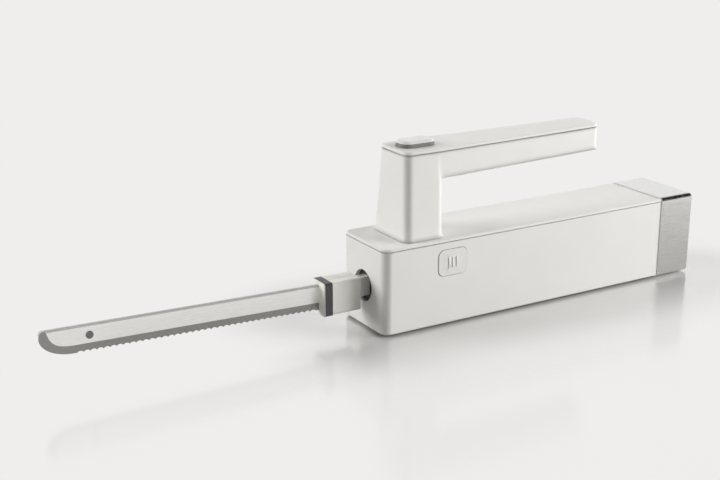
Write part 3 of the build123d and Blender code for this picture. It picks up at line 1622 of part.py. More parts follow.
with BuildPart() as carbon_brushes:
    for side in (left, right):
        block(side, brush_x - brush_length / 2, brush_x + brush_length / 2, commutator_radius / 2,
              brush_outer, motor_height - brush_height / 2, motor_height + brush_height / 2)
    with BuildSketch(Plane.YZ.offset(brush_x - brush_length)):
        with Locations((0, motor_height)):
            Circle(commutator_radius + brush_gap)
    extrude(amount=2 * brush_length, mode=Mode.SUBTRACT)
finish(carbon_brushes, "carbon_brushes")

brush_coils = []
for side in (left, right):
    brush_coils.append(coil_spring((brush_x, side * brush_outer, motor_height), (0, side, 0),
                                   brush_spring_length, brush_spring_radius))

with BuildPart() as brush_springs:
    for coil in brush_coils:
        add(coil)
finish(brush_springs, "brush_springs")
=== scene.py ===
import json
import math

import bmesh
import bpy
from mathutils import Matrix, Vector


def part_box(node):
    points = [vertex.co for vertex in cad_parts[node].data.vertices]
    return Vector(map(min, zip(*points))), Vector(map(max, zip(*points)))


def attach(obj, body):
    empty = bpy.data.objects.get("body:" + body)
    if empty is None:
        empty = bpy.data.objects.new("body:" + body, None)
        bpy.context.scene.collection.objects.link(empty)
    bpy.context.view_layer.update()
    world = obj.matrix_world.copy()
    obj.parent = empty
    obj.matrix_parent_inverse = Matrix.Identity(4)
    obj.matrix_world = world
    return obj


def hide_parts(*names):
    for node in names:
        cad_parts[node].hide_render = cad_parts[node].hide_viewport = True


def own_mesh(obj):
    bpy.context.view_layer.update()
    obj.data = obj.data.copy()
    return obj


# The looks of an electric carving knife that stands on its base. Metres, +X to the rear, -Y the left side.

MM = 0.001
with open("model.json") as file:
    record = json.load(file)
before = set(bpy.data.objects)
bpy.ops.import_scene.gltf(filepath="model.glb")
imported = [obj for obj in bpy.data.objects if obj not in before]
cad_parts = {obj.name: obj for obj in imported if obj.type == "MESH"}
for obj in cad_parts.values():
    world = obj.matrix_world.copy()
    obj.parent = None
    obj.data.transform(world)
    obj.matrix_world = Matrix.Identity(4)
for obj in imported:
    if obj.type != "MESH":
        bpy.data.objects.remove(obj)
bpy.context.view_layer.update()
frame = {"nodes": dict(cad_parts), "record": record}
nodes = frame["nodes"]
body_of_node = {node: body for body, members in frame["record"]["behaviour"]["bodies"].items()
                for node in members}
slot_of_node = {part["node"]: part["material_slot"] for part in frame["record"]["subparts"]}


# Camera at the photograph's viewing angle

CAMERA_PLACE = (-0.53656, -0.67837, 0.31059)
CAMERA_TURN = 0.53747
CAMERA_DROP = 0.30817
CAMERA_LENS = 65.3
SENSOR_WIDTH = 36
CLIP_START = 0.01


def place_camera():
    forward = Vector((math.sin(CAMERA_TURN) * math.cos(CAMERA_DROP),
                      math.cos(CAMERA_TURN) * math.cos(CAMERA_DROP), -math.sin(CAMERA_DROP)))
    right = Vector((math.cos(CAMERA_TURN), -math.sin(CAMERA_TURN), 0))
    up = right.cross(forward)
    data = bpy.data.cameras.new("camera")
    data.lens = CAMERA_LENS
    data.sensor_width = SENSOR_WIDTH
    data.clip_start = CLIP_START
    camera = bpy.data.objects.new("camera", data)
    bpy.context.scene.collection.objects.link(camera)
    turn = Matrix((right, up, -forward)).transposed().to_4x4()
    camera.matrix_world = Matrix.Translation(CAMERA_PLACE) @ turn
    bpy.context.scene.camera = camera


# Materials: noise scales are per millimetre

CLOUD_SCALE = 0.03
GRAIN_SCALE = 2.6
SMEAR_SCALE = 0.11
SCRATCH_SCALE = 9.0
TONE_SCALE = 0.05
PIT_SCALE = 4.0
DUST_SCALE = 3.0
GRAIN_DEPTH = 0.02 * MM
SCRATCH_DEPTH = 0.01 * MM
PIT_DEPTH = 0.03 * MM
DUST_DEPTH = 0.04 * MM
BAND_DEPTH = 0.1 * MM
BEVEL_SAMPLES = 6
EDGE_FULL = 0.82
WAVE_PER_PITCH = 0.314

def new_finish(name, colour, roughness, metallic=0.0):
    """A material with one principled shader, and its node tree."""
    material = bpy.data.materials.new(name)
    material.use_nodes = True
    tree = material.node_tree
    shader = tree.nodes["Principled BSDF"]
    shader.inputs["Base Color"].default_value = (*colour, 1)
    shader.inputs["Roughness"].default_value = roughness
    shader.inputs["Metallic"].default_value = metallic
    return material, tree, shader


def place_node(tree, stretch=(1, 1, 1), turn=(0, 0, 0)):
    """Object coordinates in millimetres, stretched or turned for a grain."""
    where = tree.nodes.new("ShaderNodeTexCoord")
    mapping = tree.nodes.new("ShaderNodeMapping")
    mapping.inputs["Scale"].default_value = tuple(s / MM for s in stretch)
    mapping.inputs["Rotation"].default_value = turn
    tree.links.new(where.outputs["Object"], mapping.inputs["Vector"])
    return mapping.outputs["Vector"]


def noise_node(tree, place, scale, detail=3.0):
    noise = tree.nodes.new("ShaderNodeTexNoise")
    noise.inputs["Scale"].default_value = scale
    noise.inputs["Detail"].default_value = detail
    tree.links.new(place, noise.inputs["Vector"])
    return noise.outputs["Fac"]


def spread_node(tree, value, low, high):
    """A noise value carried over to a range."""
    spread = tree.nodes.new("ShaderNodeMapRange")
    spread.inputs["From Min"].default_value = 0.3
    spread.inputs["From Max"].default_value = 0.7
    spread.inputs["To Min"].default_value = low
    spread.inputs["To Max"].default_value = high
    tree.links.new(value, spread.inputs["Value"])
    return spread.outputs["Result"]


def mix_colours(tree, share, first, second):
    """Two colours or colour sockets mixed by a share."""
    mix = tree.nodes.new("ShaderNodeMix")
    mix.data_type = "RGBA"
    tree.links.new(share, mix.inputs["Factor"])
    for socket, colour in ((mix.inputs[6], first), (mix.inputs[7], second)):
        if isinstance(colour, bpy.types.NodeSocket):
            tree.links.new(colour, socket)
        else:
            socket.default_value = (*colour, 1)
    return mix.outputs[2]


def bump_node(tree, height, strength, distance, normal=None):
    bump = tree.nodes.new("ShaderNodeBump")
    bump.inputs["Strength"].default_value = strength
    bump.inputs["Distance"].default_value = distance
    tree.links.new(height, bump.inputs["Height"])
    if normal:
        tree.links.new(normal, bump.inputs["Normal"])
    return bump.outputs["Normal"]


def rounded_normal(tree, radius):
    bevel = tree.nodes.new("ShaderNodeBevel")
    bevel.samples = BEVEL_SAMPLES
    bevel.inputs["Radius"].default_value = radius
    return bevel.outputs["Normal"]


def edge_share(tree, normal):
    """0 on a flat face and towards 1 where the surface rounds over an edge."""
    geometry = tree.nodes.new("ShaderNodeNewGeometry")
    dot = tree.nodes.new("ShaderNodeVectorMath")
    dot.operation = "DOT_PRODUCT"
    tree.links.new(normal, dot.inputs[0])
    tree.links.new(geometry.outputs["True Normal"], dot.inputs[1])
    share = tree.nodes.new("ShaderNodeMapRange")
    share.inputs["From Min"].default_value = 1.0
    share.inputs["From Max"].default_value = EDGE_FULL
    tree.links.new(dot.outputs["Value"], share.inputs["Value"])
    return share.outputs["Result"]


def tinted(colour, factor):
    """A colour made darker or lighter."""
    return tuple(min(1.0, c * factor) for c in colour)


def moulded_plastic(name, colour, roughness, grain=0.06, edge=0.25, edge_wear_and_shade=1.04):
    """Injection-moulded plastic: a fine grain, faint cloudiness and edges of a slightly other tone: a darker tone
    is painted shade on the roundings, a lighter one is wear.
    """
    material, tree, shader = new_finish(name, colour, roughness)
    place = place_node(tree)
    cloud = noise_node(tree, place, CLOUD_SCALE, 2.0)
    fine = noise_node(tree, place, GRAIN_SCALE, 2.0)
    smear = noise_node(tree, place, SMEAR_SCALE, 3.0)
    clouded = mix_colours(tree, spread_node(tree, cloud, 0, 1), tinted(colour, 0.985), tinted(colour, 1.012))
    rounded = rounded_normal(tree, edge * MM)
    edges = edge_share(tree, rounded)
    # Edge tint: below 1 it is painted shade on the roundings, above 1 it is wear.
    coloured = mix_colours(tree, edges, clouded, tinted(colour, edge_wear_and_shade))
    tree.links.new(coloured, shader.inputs["Base Color"])
    tree.links.new(spread_node(tree, smear, roughness - 0.05, roughness + 0.06), shader.inputs["Roughness"])
    tree.links.new(bump_node(tree, fine, grain, GRAIN_DEPTH, rounded), shader.inputs["Normal"])
    return material


def ground_steel(name, colour, roughness, stretch, turn=(0, 0, 0), depth=0.25, edge=0.2):
    """Steel with the fine parallel scratches of a belt or wheel."""
    material, tree, shader = new_finish(name, colour, roughness, 1.0)
    place = place_node(tree, stretch, turn)
    lines = noise_node(tree, place, SCRATCH_SCALE, 5.0)
    broad = noise_node(tree, place_node(tree), TONE_SCALE, 2.0)
    lined = mix_colours(tree, spread_node(tree, lines, 0, 1), tinted(colour, 0.82), tinted(colour, 1.06))
    toned = mix_colours(tree, spread_node(tree, broad, 0, 0.35), lined, tinted(colour, 0.93))
    tree.links.new(toned, shader.inputs["Base Color"])
    tree.links.new(spread_node(tree, lines, roughness - 0.06, roughness + 0.1), shader.inputs["Roughness"])
    rounded = rounded_normal(tree, edge * MM)
    tree.links.new(bump_node(tree, lines, depth, SCRATCH_DEPTH, rounded), shader.inputs["Normal"])
    return material


def soft_rubber(name, colour):
    """Matt rubber with a fine dusty grain."""
    material, tree, shader = new_finish(name, colour, 0.75)
    fine = noise_node(tree, place_node(tree), DUST_SCALE, 4.0)
    dusty = mix_colours(tree, spread_node(tree, fine, 0, 0.5), colour, tinted(colour, 1.7))
    tree.links.new(dusty, shader.inputs["Base Color"])
    tree.links.new(bump_node(tree, fine, 0.3, DUST_DEPTH), shader.inputs["Normal"])
    return material


def cast_metal(name, colour, roughness):
    """Die-cast or sintered metal: small pits and cloudy tone."""
    material, tree, shader = new_finish(name, colour, roughness, 1.0)
    pits = noise_node(tree, place_node(tree), PIT_SCALE, 4.0)
    toned = mix_colours(tree, spread_node(tree, pits, 0, 1), tinted(colour, 0.8), tinted(colour, 1.05))
    tree.links.new(toned, shader.inputs["Base Color"])
    tree.links.new(spread_node(tree, pits, roughness - 0.08, roughness + 0.12), shader.inputs["Roughness"])
    tree.links.new(bump_node(tree, pits, 0.3, PIT_DEPTH), shader.inputs["Normal"])
    return material


def banded_metal(name, colour, gap_colour, roughness, pitch, direction):
    """Stacked sheets or wound wire: fine bands across one direction."""
    material, tree, shader = new_finish(name, colour, roughness, 1.0)
    wave = tree.nodes.new("ShaderNodeTexWave")
    wave.bands_direction = direction
    wave.inputs["Scale"].default_value = WAVE_PER_PITCH / pitch
    wave.inputs["Distortion"].default_value = 0.3
    tree.links.new(place_node(tree), wave.inputs["Vector"])
    banded = mix_colours(tree, wave.outputs["Fac"], gap_colour, colour)
    tree.links.new(banded, shader.inputs["Base Color"])
    rough = noise_node(tree, place_node(tree), 1.0)
    tree.links.new(spread_node(tree, rough, roughness - 0.05, roughness + 0.1), shader.inputs["Roughness"])
    tree.links.new(bump_node(tree, wave.outputs["Fac"], 0.6, BAND_DEPTH), shader.inputs["Normal"])
    return material


SHELL_WHITE = (0.765, 0.755, 0.725)
finishes = {
    # Shell white: its edges are tinted darker, painted shade on the roundings.
    "shell_plastic": moulded_plastic("shell_plastic", SHELL_WHITE, 0.4, edge=0.5, edge_wear_and_shade=0.84),
    "button_plastic": moulded_plastic("button_plastic", (0.74, 0.735, 0.71), 0.3, edge=0.35),
    "cap_steel": ground_steel("cap_steel", (0.66, 0.66, 0.64), 0.24, (0.02, 1, 1), depth=0.12, edge=2.5),
    "dark_plastic": moulded_plastic("dark_plastic", (0.035, 0.035, 0.038), 0.5, grain=0.3, edge_wear_and_shade=1.3),
    "collar_plastic": moulded_plastic("collar_plastic", (0.05, 0.05, 0.052), 0.42, grain=0.2, edge_wear_and_shade=1.2),
    # Shank white is brighter than the shell white: painted light that makes up for the body's shadow over the
    # shanks.
    "shank_plastic": moulded_plastic("shank_plastic", (0.84, 0.83, 0.775), 0.36, edge=0.4, edge_wear_and_shade=1.02),
    "blade_steel": ground_steel("blade_steel", (0.97, 0.96, 0.93), 0.36, (0.015, 1, 1), depth=0.25),
    "rivet_steel": ground_steel("rivet_steel", (0.2, 0.2, 0.195), 0.4, (1, 1, 1), depth=0.1),
    "rubber": soft_rubber("rubber", (0.02, 0.02, 0.021)),
    "screw_steel": ground_steel("screw_steel", (0.6, 0.6, 0.61), 0.28, (1, 1, 1), depth=0.1),
    "spring_steel": ground_steel("spring_steel", (0.5, 0.5, 0.51), 0.35, (1, 1, 0.1), depth=0.1),
    "shaft_steel": ground_steel("shaft_steel", (0.55, 0.55, 0.56), 0.25, (1, 0.05, 0.05), depth=0.15),
    "gear_plastic": moulded_plastic("gear_plastic", (0.7, 0.66, 0.53), 0.45),
    "insulator_plastic": moulded_plastic("insulator_plastic", (0.024, 0.02, 0.018), 0.45, edge_wear_and_shade=1.2),
    "lead_insulation": soft_rubber("lead_insulation", (0.05, 0.05, 0.06)),
    "bearing_bronze": cast_metal("bearing_bronze", (0.45, 0.26, 0.1), 0.42),
    "frame_aluminium": cast_metal("frame_aluminium", (0.62, 0.63, 0.64), 0.45),
    "stack_steel": banded_metal("stack_steel", (0.3, 0.31, 0.33), (0.05, 0.05, 0.06), 0.45, 0.5, "X"),
    "winding_copper": banded_metal("winding_copper", (0.55, 0.2, 0.07), (0.12, 0.03, 0.01), 0.35, 0.4, "DIAGONAL"),
    "brush_carbon": cast_metal("brush_carbon", (0.03, 0.03, 0.033), 0.6),
    "fan_plastic": moulded_plastic("fan_plastic", (0.04, 0.045, 0.05), 0.45, edge_wear_and_shade=1.2),
}
# Darker steel along the spine strip and its chamfers.
spine_strip_darker = ground_steel("spine_strip_darker", (0.56, 0.555, 0.54), 0.36, (0.015, 1, 1), depth=0.25)
# Handle moulding: a wide rounding band tinted darker, painted shade along its rounded corners.
post_plastic = moulded_plastic("post_plastic", SHELL_WHITE, 0.4, edge=3.5, edge_wear_and_shade=0.84)
# Dark skirt of the lock button: painted shade on its side wall and gap.
painted_shade_skirt = moulded_plastic("painted_shade_skirt", (0.2, 0.2, 0.195), 0.45, edge_wear_and_shade=1.1)
# Ground band: a darker copy of the blade steel, painted dark reflection.
grind_band_painted_dark = ground_steel("grind_band_painted_dark", (0.33, 0.325, 0.31), 0.36, (1, 1, 0.03), depth=0.35)

for node_name, node in nodes.items():
    node.data.materials.clear()
    node.data.materials.append(finishes[slot_of_node[node_name]])


# Pieces

MERGE_DISTANCE = 0.002 * MM
SHELL_SHARP = 28
BLADE_SHARP = 24
REPEAT_SHARP = 30


def new_piece(name, mesh_source, body, slot, replaced=(), materials=None):
    """Make an object of a bmesh, give it its finish and let it ride on its body."""
    mesh = bpy.data.meshes.new(name)
    mesh_source.to_mesh(mesh)
    mesh_source.free()
    piece = bpy.data.objects.new(name, mesh)
    bpy.context.scene.collection.objects.link(piece)
    for material in materials or [finishes[slot]]:
        mesh.materials.append(material)
    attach(piece, body)
    if replaced:
        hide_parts(*replaced)
    return piece


def shade(piece):
    """Smooth shading with sharp edges past an angle, and normals weighted by face area."""
    piece.data.shade_smooth()
    piece.data.set_sharp_from_angle(angle=math.radians(SHELL_SHARP))
    weighted = piece.modifiers.new("weighted_normals", "WEIGHTED_NORMAL")
    weighted.keep_sharp = True


def source_part(name, work):
    """A helper object made of a bmesh, removed once it has been used."""
    mesh = bpy.data.meshes.new(name)
    work.to_mesh(mesh)
    work.free()
    part = bpy.data.objects.new(name, mesh)
    bpy.context.scene.collection.objects.link(part)
    return part


def merged_copy(node_name):
    """A copy of a CAD node's mesh with its doubled points merged."""
    work = bmesh.new()
    work.from_mesh(nodes[node_name].data)
    bmesh.ops.remove_doubles(work, verts=work.verts, dist=MERGE_DISTANCE)
    return work


def smooth_copy(node_name, name):
    """A merged copy of a CAD node with smooth roundings."""
    work = merged_copy(node_name)
    piece = new_piece(name, work, body_of_node[node_name], slot_of_node[node_name], (node_name,))
    shade(piece)
    return piece


shells = (
    ("main_housing", "housing_tub"), ("top_cover", "housing_lid"), ("handle_shell", "handle_moulding"),
    ("handle_cover", "handle_lid"), ("rear_cap", "steel_cap"), ("rear_cover", "vented_rear_cover"),
    ("base_plate", "bottom_plate"), ("left_blade_shank", "left_shank"), ("right_blade_shank", "right_shank"),
    ("trigger", "trigger_lever"), ("left_release_button", "left_push_button"),
    ("right_release_button", "right_push_button"), ("cord_gland", "cord_bushing"),
)
for node_name, piece_name in shells:
    piece = smooth_copy(node_name, piece_name)
    if piece_name == "handle_moulding":
        piece.data.materials[0] = post_plastic


# Coil springs: smooth copies of the CAD springs, each with a mesh of its own

ALONG, ACROSS, UPWARD = 0, 1, 2


def coil_piece(node_name, name, axis):
    """A smooth-shaded copy of a spring, with a mesh of its own."""
    work = merged_copy(node_name)
    piece = new_piece(name, work, body_of_node[node_name], slot_of_node[node_name], (node_name,))
    piece.data.shade_smooth()
    direction = Vector((0, 0, 0))
    direction[axis] = 1
    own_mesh(piece)


coil_piece("trigger_spring", "trigger_coil", UPWARD)
coil_piece("lock_spring", "lock_coil", UPWARD)
coil_piece("left_release_spring", "left_release_coil", ACROSS)
coil_piece("right_release_spring", "right_release_coil", ACROSS)


# Two-tone pieces: dark collars with a pale front face, and the lock button with a dark skirt that is painted shade
# along its side wall

LIP_LENGTH = 0.6 * MM
SKIRT_DROP = 1.5 * MM


def two_tone_piece(node_name, name, axis, level, lower_finish):
    """A smooth copy whose part below a level along one axis has a finish of its own."""
    work = merged_copy(node_name)
    point = Vector((0, 0, 0))
    point[axis] = level
    direction = Vector((0, 0, 0))
    direction[axis] = 1
    everything = work.verts[:] + work.edges[:] + work.faces[:]
    bmesh.ops.bisect_plane(work, geom=everything, dist=0, plane_co=point, plane_no=direction)
    for face in work.faces:
        face.material_index = 1 if face.calc_center_median()[axis] < level else 0
    slot = slot_of_node[node_name]
    piece = new_piece(name, work, body_of_node[node_name], slot, (node_name,), [finishes[slot], lower_finish])
    shade(piece)


for node_name, piece_name in (("left_collar", "left_banded_collar"), ("right_collar", "right_banded_collar")):
    two_tone_piece(node_name, piece_name, ALONG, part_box(node_name)[0].x + LIP_LENGTH, finishes["shank_plastic"])
two_tone_piece("lock_button", "lock_slider", UPWARD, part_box("lock_button")[1].z - SKIRT_DROP, painted_shade_skirt)


# Blades: teeth, hollow grinds and the ground band follow one rule along the edge. Millimetres.

BLADE_ROOT = Vector((-151, 0, 17.55))
BLADE_CANT = math.radians(1.58)
BLADE_REACH = 192
BLADE_ALONG = Vector((-math.cos(BLADE_CANT), 0, math.sin(BLADE_CANT)))
BLADE_UP = Vector((math.sin(BLADE_CANT), 0, math.cos(BLADE_CANT)))
BLADE_LENGTH = BLADE_REACH / math.cos(BLADE_CANT)
BLADE_GAP = 0.1
BLADE_THICK = 0.95
ROOT_HEIGHT = 17.0
TIP_HEIGHT = 16.6
TIP_TOP = 2.5
TIP_CURVE_LENGTH = 20.0
TIP_CURVE_HEIGHT = 12.0
TIP_BAND = 4.2
BAND_HEIGHT = 5.2
BAND_CLEARANCE = 0.3
BAND_LEAST = 0.02
EDGE_THICK = 0.14
THICK_LEAST = 0.08
SPINE_STRIP = 1.3
OUTER_CHAMFER = 0.12
INNER_CHAMFER = 0.06
TOOTH_PITCH = 4.0
TOOTH_DEPTH = 0.8
TOOTH_CHORD = 1.75
TOOTH_RADIUS = (TOOTH_CHORD ** 2 + TOOTH_DEPTH ** 2) / (2 * TOOTH_DEPTH)
TEETH_START = 16.0
CURVE_START = BLADE_LENGTH - TIP_CURVE_LENGTH
TEETH_COUNT = int((CURVE_START - TEETH_START) / TOOTH_PITCH)
HOLLOW_HEIGHT = 3.0
HOLLOW_DEPTH = 0.3
HOLLOW_REACH = TOOTH_CHORD + 0.2
HOLLOW_LEAST = 0.05
PLAIN_LENGTH = 7.0
TOOTH_STEPS = 16
TIP_STEPS = 32
BAND_ROWS = (1.0, 0.999, 0.8, 0.62, 0.5, 0.4, 0.3, 0.2, 0.1, 0.0)
FACES_ABOVE_BAND = 3
SLOT_REACH = 8.0
SLOT_RADIUS = 1.6
SLOT_STEPS = 16
SLOT_FROM = 0.02
SLOT_TO = 2.0


def tooth_offset(s):
    """Distance from the middle of the nearest scallop, or None where the edge is plain."""
    index = round((s - TEETH_START) / TOOTH_PITCH)
    if 0 <= index < TEETH_COUNT:
        return s - TEETH_START - index * TOOTH_PITCH
    return None


def edge_level(s):
    """Height of the cutting edge at a place along the blade."""
    past = (s - CURVE_START) / TIP_CURVE_LENGTH
    if past > 0:
        return TIP_CURVE_HEIGHT * (1 - math.sqrt(max(0.0, 1 - past ** 2)))
    off = tooth_offset(s)
    if off is None or abs(off) >= TOOTH_CHORD:
        return 0.0
    return TOOTH_DEPTH - TOOTH_RADIUS + math.sqrt(TOOTH_RADIUS ** 2 - off ** 2)


def spine_level(s):
    level = ROOT_HEIGHT + (TIP_HEIGHT - ROOT_HEIGHT) * s / BLADE_LENGTH
    past = s - (BLADE_LENGTH - TIP_TOP)
    if past > 0:
        level -= TIP_TOP - math.sqrt(max(0.0, TIP_TOP ** 2 - past ** 2))
    return level


def band_level(s, spine):
    """Top of the ground band, which turns up round the tip."""
    past = (s - CURVE_START) / (TIP_CURVE_LENGTH - TIP_BAND)
    if past <= 0:
        return BAND_HEIGHT
    if past >= 1:
        return spine - BAND_CLEARANCE
    rise = (TIP_CURVE_HEIGHT - BAND_HEIGHT) * (1 - math.sqrt(1 - past ** 2))
    lift = (spine - BAND_CLEARANCE - TIP_CURVE_HEIGHT) * past ** 6
    return BAND_HEIGHT + rise + lift


def half_thickness(s, height, edge, band):
    """How far the outer face stands from the inner one, with the band and the hollow of each tooth."""
    thick = EDGE_THICK + (BLADE_THICK - EDGE_THICK) * (height - edge) / (band - edge)
    off = tooth_offset(s)
    if off is not None and abs(off) < HOLLOW_REACH:
        arch = HOLLOW_HEIGHT * math.sqrt(1 - (off / HOLLOW_REACH) ** 2)
        if arch > HOLLOW_LEAST and height - edge < arch:
            thick -= HOLLOW_DEPTH * (1 - (height - edge) / arch)
    return min(BLADE_THICK, max(THICK_LEAST, thick))


def blade_stations():
    """Places along the blade: close together at the teeth and the rounded tip."""
    stations = [0.0, PLAIN_LENGTH, TEETH_START - TOOTH_PITCH / 2]
    for i in range(TEETH_COUNT * TOOTH_STEPS):
        stations.append(TEETH_START - TOOTH_PITCH / 2 + (i + 1) * TOOTH_PITCH / TOOTH_STEPS)
    start = stations[-1]
    for i in range(1, TIP_STEPS + 1):
        stations.append(start + (BLADE_LENGTH - start) * math.sin(math.pi / 2 * i / TIP_STEPS))
    return stations


def slot_prism():
    """The long hole that lets the tip rivet slide in the right blade."""
    low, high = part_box("tip_rivet")
    work = bmesh.new()
    rounds = []
    count = 2 * (SLOT_STEPS + 1)
    for i in range(count):
        angle = math.pi * (i if i <= SLOT_STEPS else i - 1) / SLOT_STEPS
        end = SLOT_REACH if i <= SLOT_STEPS else -SLOT_REACH
        rounds.append(((low.x + high.x) / 2 + (end + SLOT_RADIUS * math.sin(angle)) * MM,
                       (low.z + high.z) / 2 + SLOT_RADIUS * math.cos(angle) * MM))
    near = [work.verts.new((x, SLOT_FROM * MM, z)) for x, z in rounds]
    far = [work.verts.new((x, SLOT_TO * MM, z)) for x, z in rounds]
    for i in range(count):
        j = (i + 1) % count
        work.faces.new((near[i], near[j], far[j], far[i]))
    work.faces.new(near)
    work.faces.new(list(reversed(far)))
    bmesh.ops.recalc_face_normals(work, faces=work.faces)
    return work


def with_slot(work, materials):
    """The blade with the rivet's long hole cut through it."""
    blade = source_part("blade_source", work)
    cutter = source_part("slot_source", slot_prism())
    for material in materials:
        blade.data.materials.append(material)
    cutter.data.materials.append(materials[0])
    cut = blade.modifiers.new("slot", "BOOLEAN")
    cut.solver = "EXACT"
    cut.object = cutter
    graph = bpy.context.evaluated_depsgraph_get()
    opened = bmesh.new()
    opened.from_mesh(bpy.data.meshes.new_from_object(blade.evaluated_get(graph), depsgraph=graph))
    bpy.data.objects.remove(blade)
    bpy.data.objects.remove(cutter)
    return opened


def blade_piece(side, name, node_name):
    """One blade as rows along its length: spine, face, ground band, edge and the flat inner face."""
    # Face steel, the ground band in painted dark reflection, and the darker spine strip.
    materials = [finishes["blade_steel"], grind_band_painted_dark, spine_strip_darker]
    band_faces = range(FACES_ABOVE_BAND, FACES_ABOVE_BAND + len(BAND_ROWS) - 1)
    work = bmesh.new()
    columns = []
    for s in blade_stations():
        edge = edge_level(s)
        spine = spine_level(s)
        band = max(edge + BAND_LEAST, band_level(s, spine))
        face_top = max(band, spine - SPINE_STRIP)
        heights = [max(band, spine - OUTER_CHAMFER), face_top]
        heights += [edge + (band - edge) * row for row in BAND_ROWS]
        outline = [(BLADE_THICK - OUTER_CHAMFER, spine)]
        outline += [(None, height) for height in heights]
        outline += [(0.0, edge), (0.0, band), (0.0, spine - INNER_CHAMFER), (INNER_CHAMFER, spine)]
        column = []
        for y, height in outline:
            if y is None:
                y = half_thickness(s, height, edge, band) if height <= band else BLADE_THICK
            point = BLADE_ROOT + BLADE_ALONG * s + BLADE_UP * height
            point.y = side * (BLADE_GAP + y)
            column.append(work.verts.new(point * MM))
        columns.append(column)
    count = len(columns[0])
    for first, second in zip(columns, columns[1:]):
        for i in range(count):
            j = (i + 1) % count
            face = work.faces.new((first[i], first[j], second[j], second[i]))
            if i in band_faces:
                face.material_index = 1
            elif i <= 1 or i >= count - 2:
                face.material_index = 2
    work.faces.new(columns[0])
    work.faces.new(list(reversed(columns[-1])))
    bmesh.ops.remove_doubles(work, verts=work.verts, dist=MERGE_DISTANCE / 2)
    bmesh.ops.recalc_face_normals(work, faces=work.faces)
    if side == 1:
        work = with_slot(work, materials)
    piece = new_piece(name, work, body_of_node[node_name], "blade_steel", (node_name,), materials)
    piece.data.shade_smooth()
    piece.data.set_sharp_from_angle(angle=math.radians(BLADE_SHARP))


blade_piece(-1, "left_saw_blade", "left_blade")
blade_piece(1, "right_saw_blade", "right_blade")


# Repeats by geometry nodes: each tree sets one part on many places and joins the copies


FOOT_RADIUS = 6.0
HEAD_RADIUS = 2.8
HEAD_HEIGHT = 1.7
SHANK_RADIUS = 1.45
THREAD_PITCH = 0.7
LONG_THREAD = 12.0
SHORT_THREAD = 9.0
FOOT_SEGMENTS = 48
SCREW_SEGMENTS = 32


def lathe(profile, segments):
    """A closed body turned round Z from points of radius and height in millimetres."""
    work = bmesh.new()
    rings = []
    for radius, height in profile:
        if radius == 0:
            rings.append([work.verts.new((0, 0, height * MM))] * segments)
        else:
            rings.append([work.verts.new((radius * MM * math.cos(2 * math.pi * i / segments),
                                          radius * MM * math.sin(2 * math.pi * i / segments), height * MM))
                          for i in range(segments)])
    for low, high in zip(rings, rings[1:]):
        for i in range(segments):
            j = (i + 1) % segments
            corners = [low[i], low[j], high[j], high[i]]
            work.faces.new([c for k, c in enumerate(corners) if c not in corners[:k]])
    bmesh.ops.recalc_face_normals(work, faces=work.faces)
    return work


def new_tree(name, inputs):
    tree = bpy.data.node_groups.new(name, "GeometryNodeTree")
    for socket, kind in inputs:
        tree.interface.new_socket(socket, in_out="INPUT", socket_type=kind)
    tree.interface.new_socket("Geometry", in_out="OUTPUT", socket_type="NodeSocketGeometry")
    return tree


def join_copies(tree, given, points):
    """Put the part on every point, make the copies real and give them their finish."""
    part = tree.nodes.new("GeometryNodeObjectInfo")
    copies = tree.nodes.new("GeometryNodeInstanceOnPoints")
    real = tree.nodes.new("GeometryNodeRealizeInstances")
    painted = tree.nodes.new("GeometryNodeSetMaterial")
    output = tree.nodes.new("NodeGroupOutput")
    tree.links.new(given["Part"], part.inputs["Object"])
    tree.links.new(points, copies.inputs["Points"])
    tree.links.new(part.outputs["Geometry"], copies.inputs["Instance"])
    tree.links.new(copies.outputs["Instances"], real.inputs["Geometry"])
    tree.links.new(real.outputs["Geometry"], painted.inputs["Geometry"])
    tree.links.new(given["Finish"], painted.inputs["Material"])
    tree.links.new(painted.outputs["Geometry"], output.inputs["Geometry"])


def grid_of_places():
    """A level grid of places, as many along X and Y as asked."""
    tree = new_tree("grid_of_places", (
        ("Part", "NodeSocketObject"), ("Finish", "NodeSocketMaterial"), ("Count Length", "NodeSocketInt"),
        ("Count Width", "NodeSocketInt"), ("Spacing Length", "NodeSocketFloat"),
        ("Spacing Width", "NodeSocketFloat"), ("Centre", "NodeSocketVector")))
    given = tree.nodes.new("NodeGroupInput").outputs
    grid = tree.nodes.new("GeometryNodeMeshGrid")
    moved = tree.nodes.new("GeometryNodeTransform")
    tree.links.new(given["Count Length"], grid.inputs["Vertices X"])
    tree.links.new(given["Count Width"], grid.inputs["Vertices Y"])
    tree.links.new(given["Spacing Length"], grid.inputs["Size X"])
    tree.links.new(given["Spacing Width"], grid.inputs["Size Y"])
    tree.links.new(grid.outputs["Mesh"], moved.inputs["Geometry"])
    tree.links.new(given["Centre"], moved.inputs["Translation"])
    join_copies(tree, given, moved.outputs["Geometry"])
    return tree


def repeated(name, tree, values, body, slot, replaced):
    """Evaluate a tree once and keep its result as one plain mesh on a body."""
    holder = bpy.data.objects.new(name + "_holder", bpy.data.meshes.new(name + "_holder"))
    bpy.context.scene.collection.objects.link(holder)
    modifier = holder.modifiers.new("copies", "NODES")
    modifier.node_group = tree
    values = dict(values, Finish=finishes[slot])
    for item in tree.interface.items_tree:
        if item.in_out == "INPUT":
            modifier[item.identifier] = values[item.name]
    graph = bpy.context.evaluated_depsgraph_get()
    mesh = bpy.data.meshes.new_from_object(holder.evaluated_get(graph), depsgraph=graph)
    mesh.name = name
    bpy.data.objects.remove(holder)
    bpy.data.objects.remove(values["Part"])
    piece = bpy.data.objects.new(name, mesh)
    bpy.context.scene.collection.objects.link(piece)
    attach(piece, body)
    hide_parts(*replaced)
    mesh.shade_smooth()
    mesh.set_sharp_from_angle(angle=math.radians(REPEAT_SHARP))


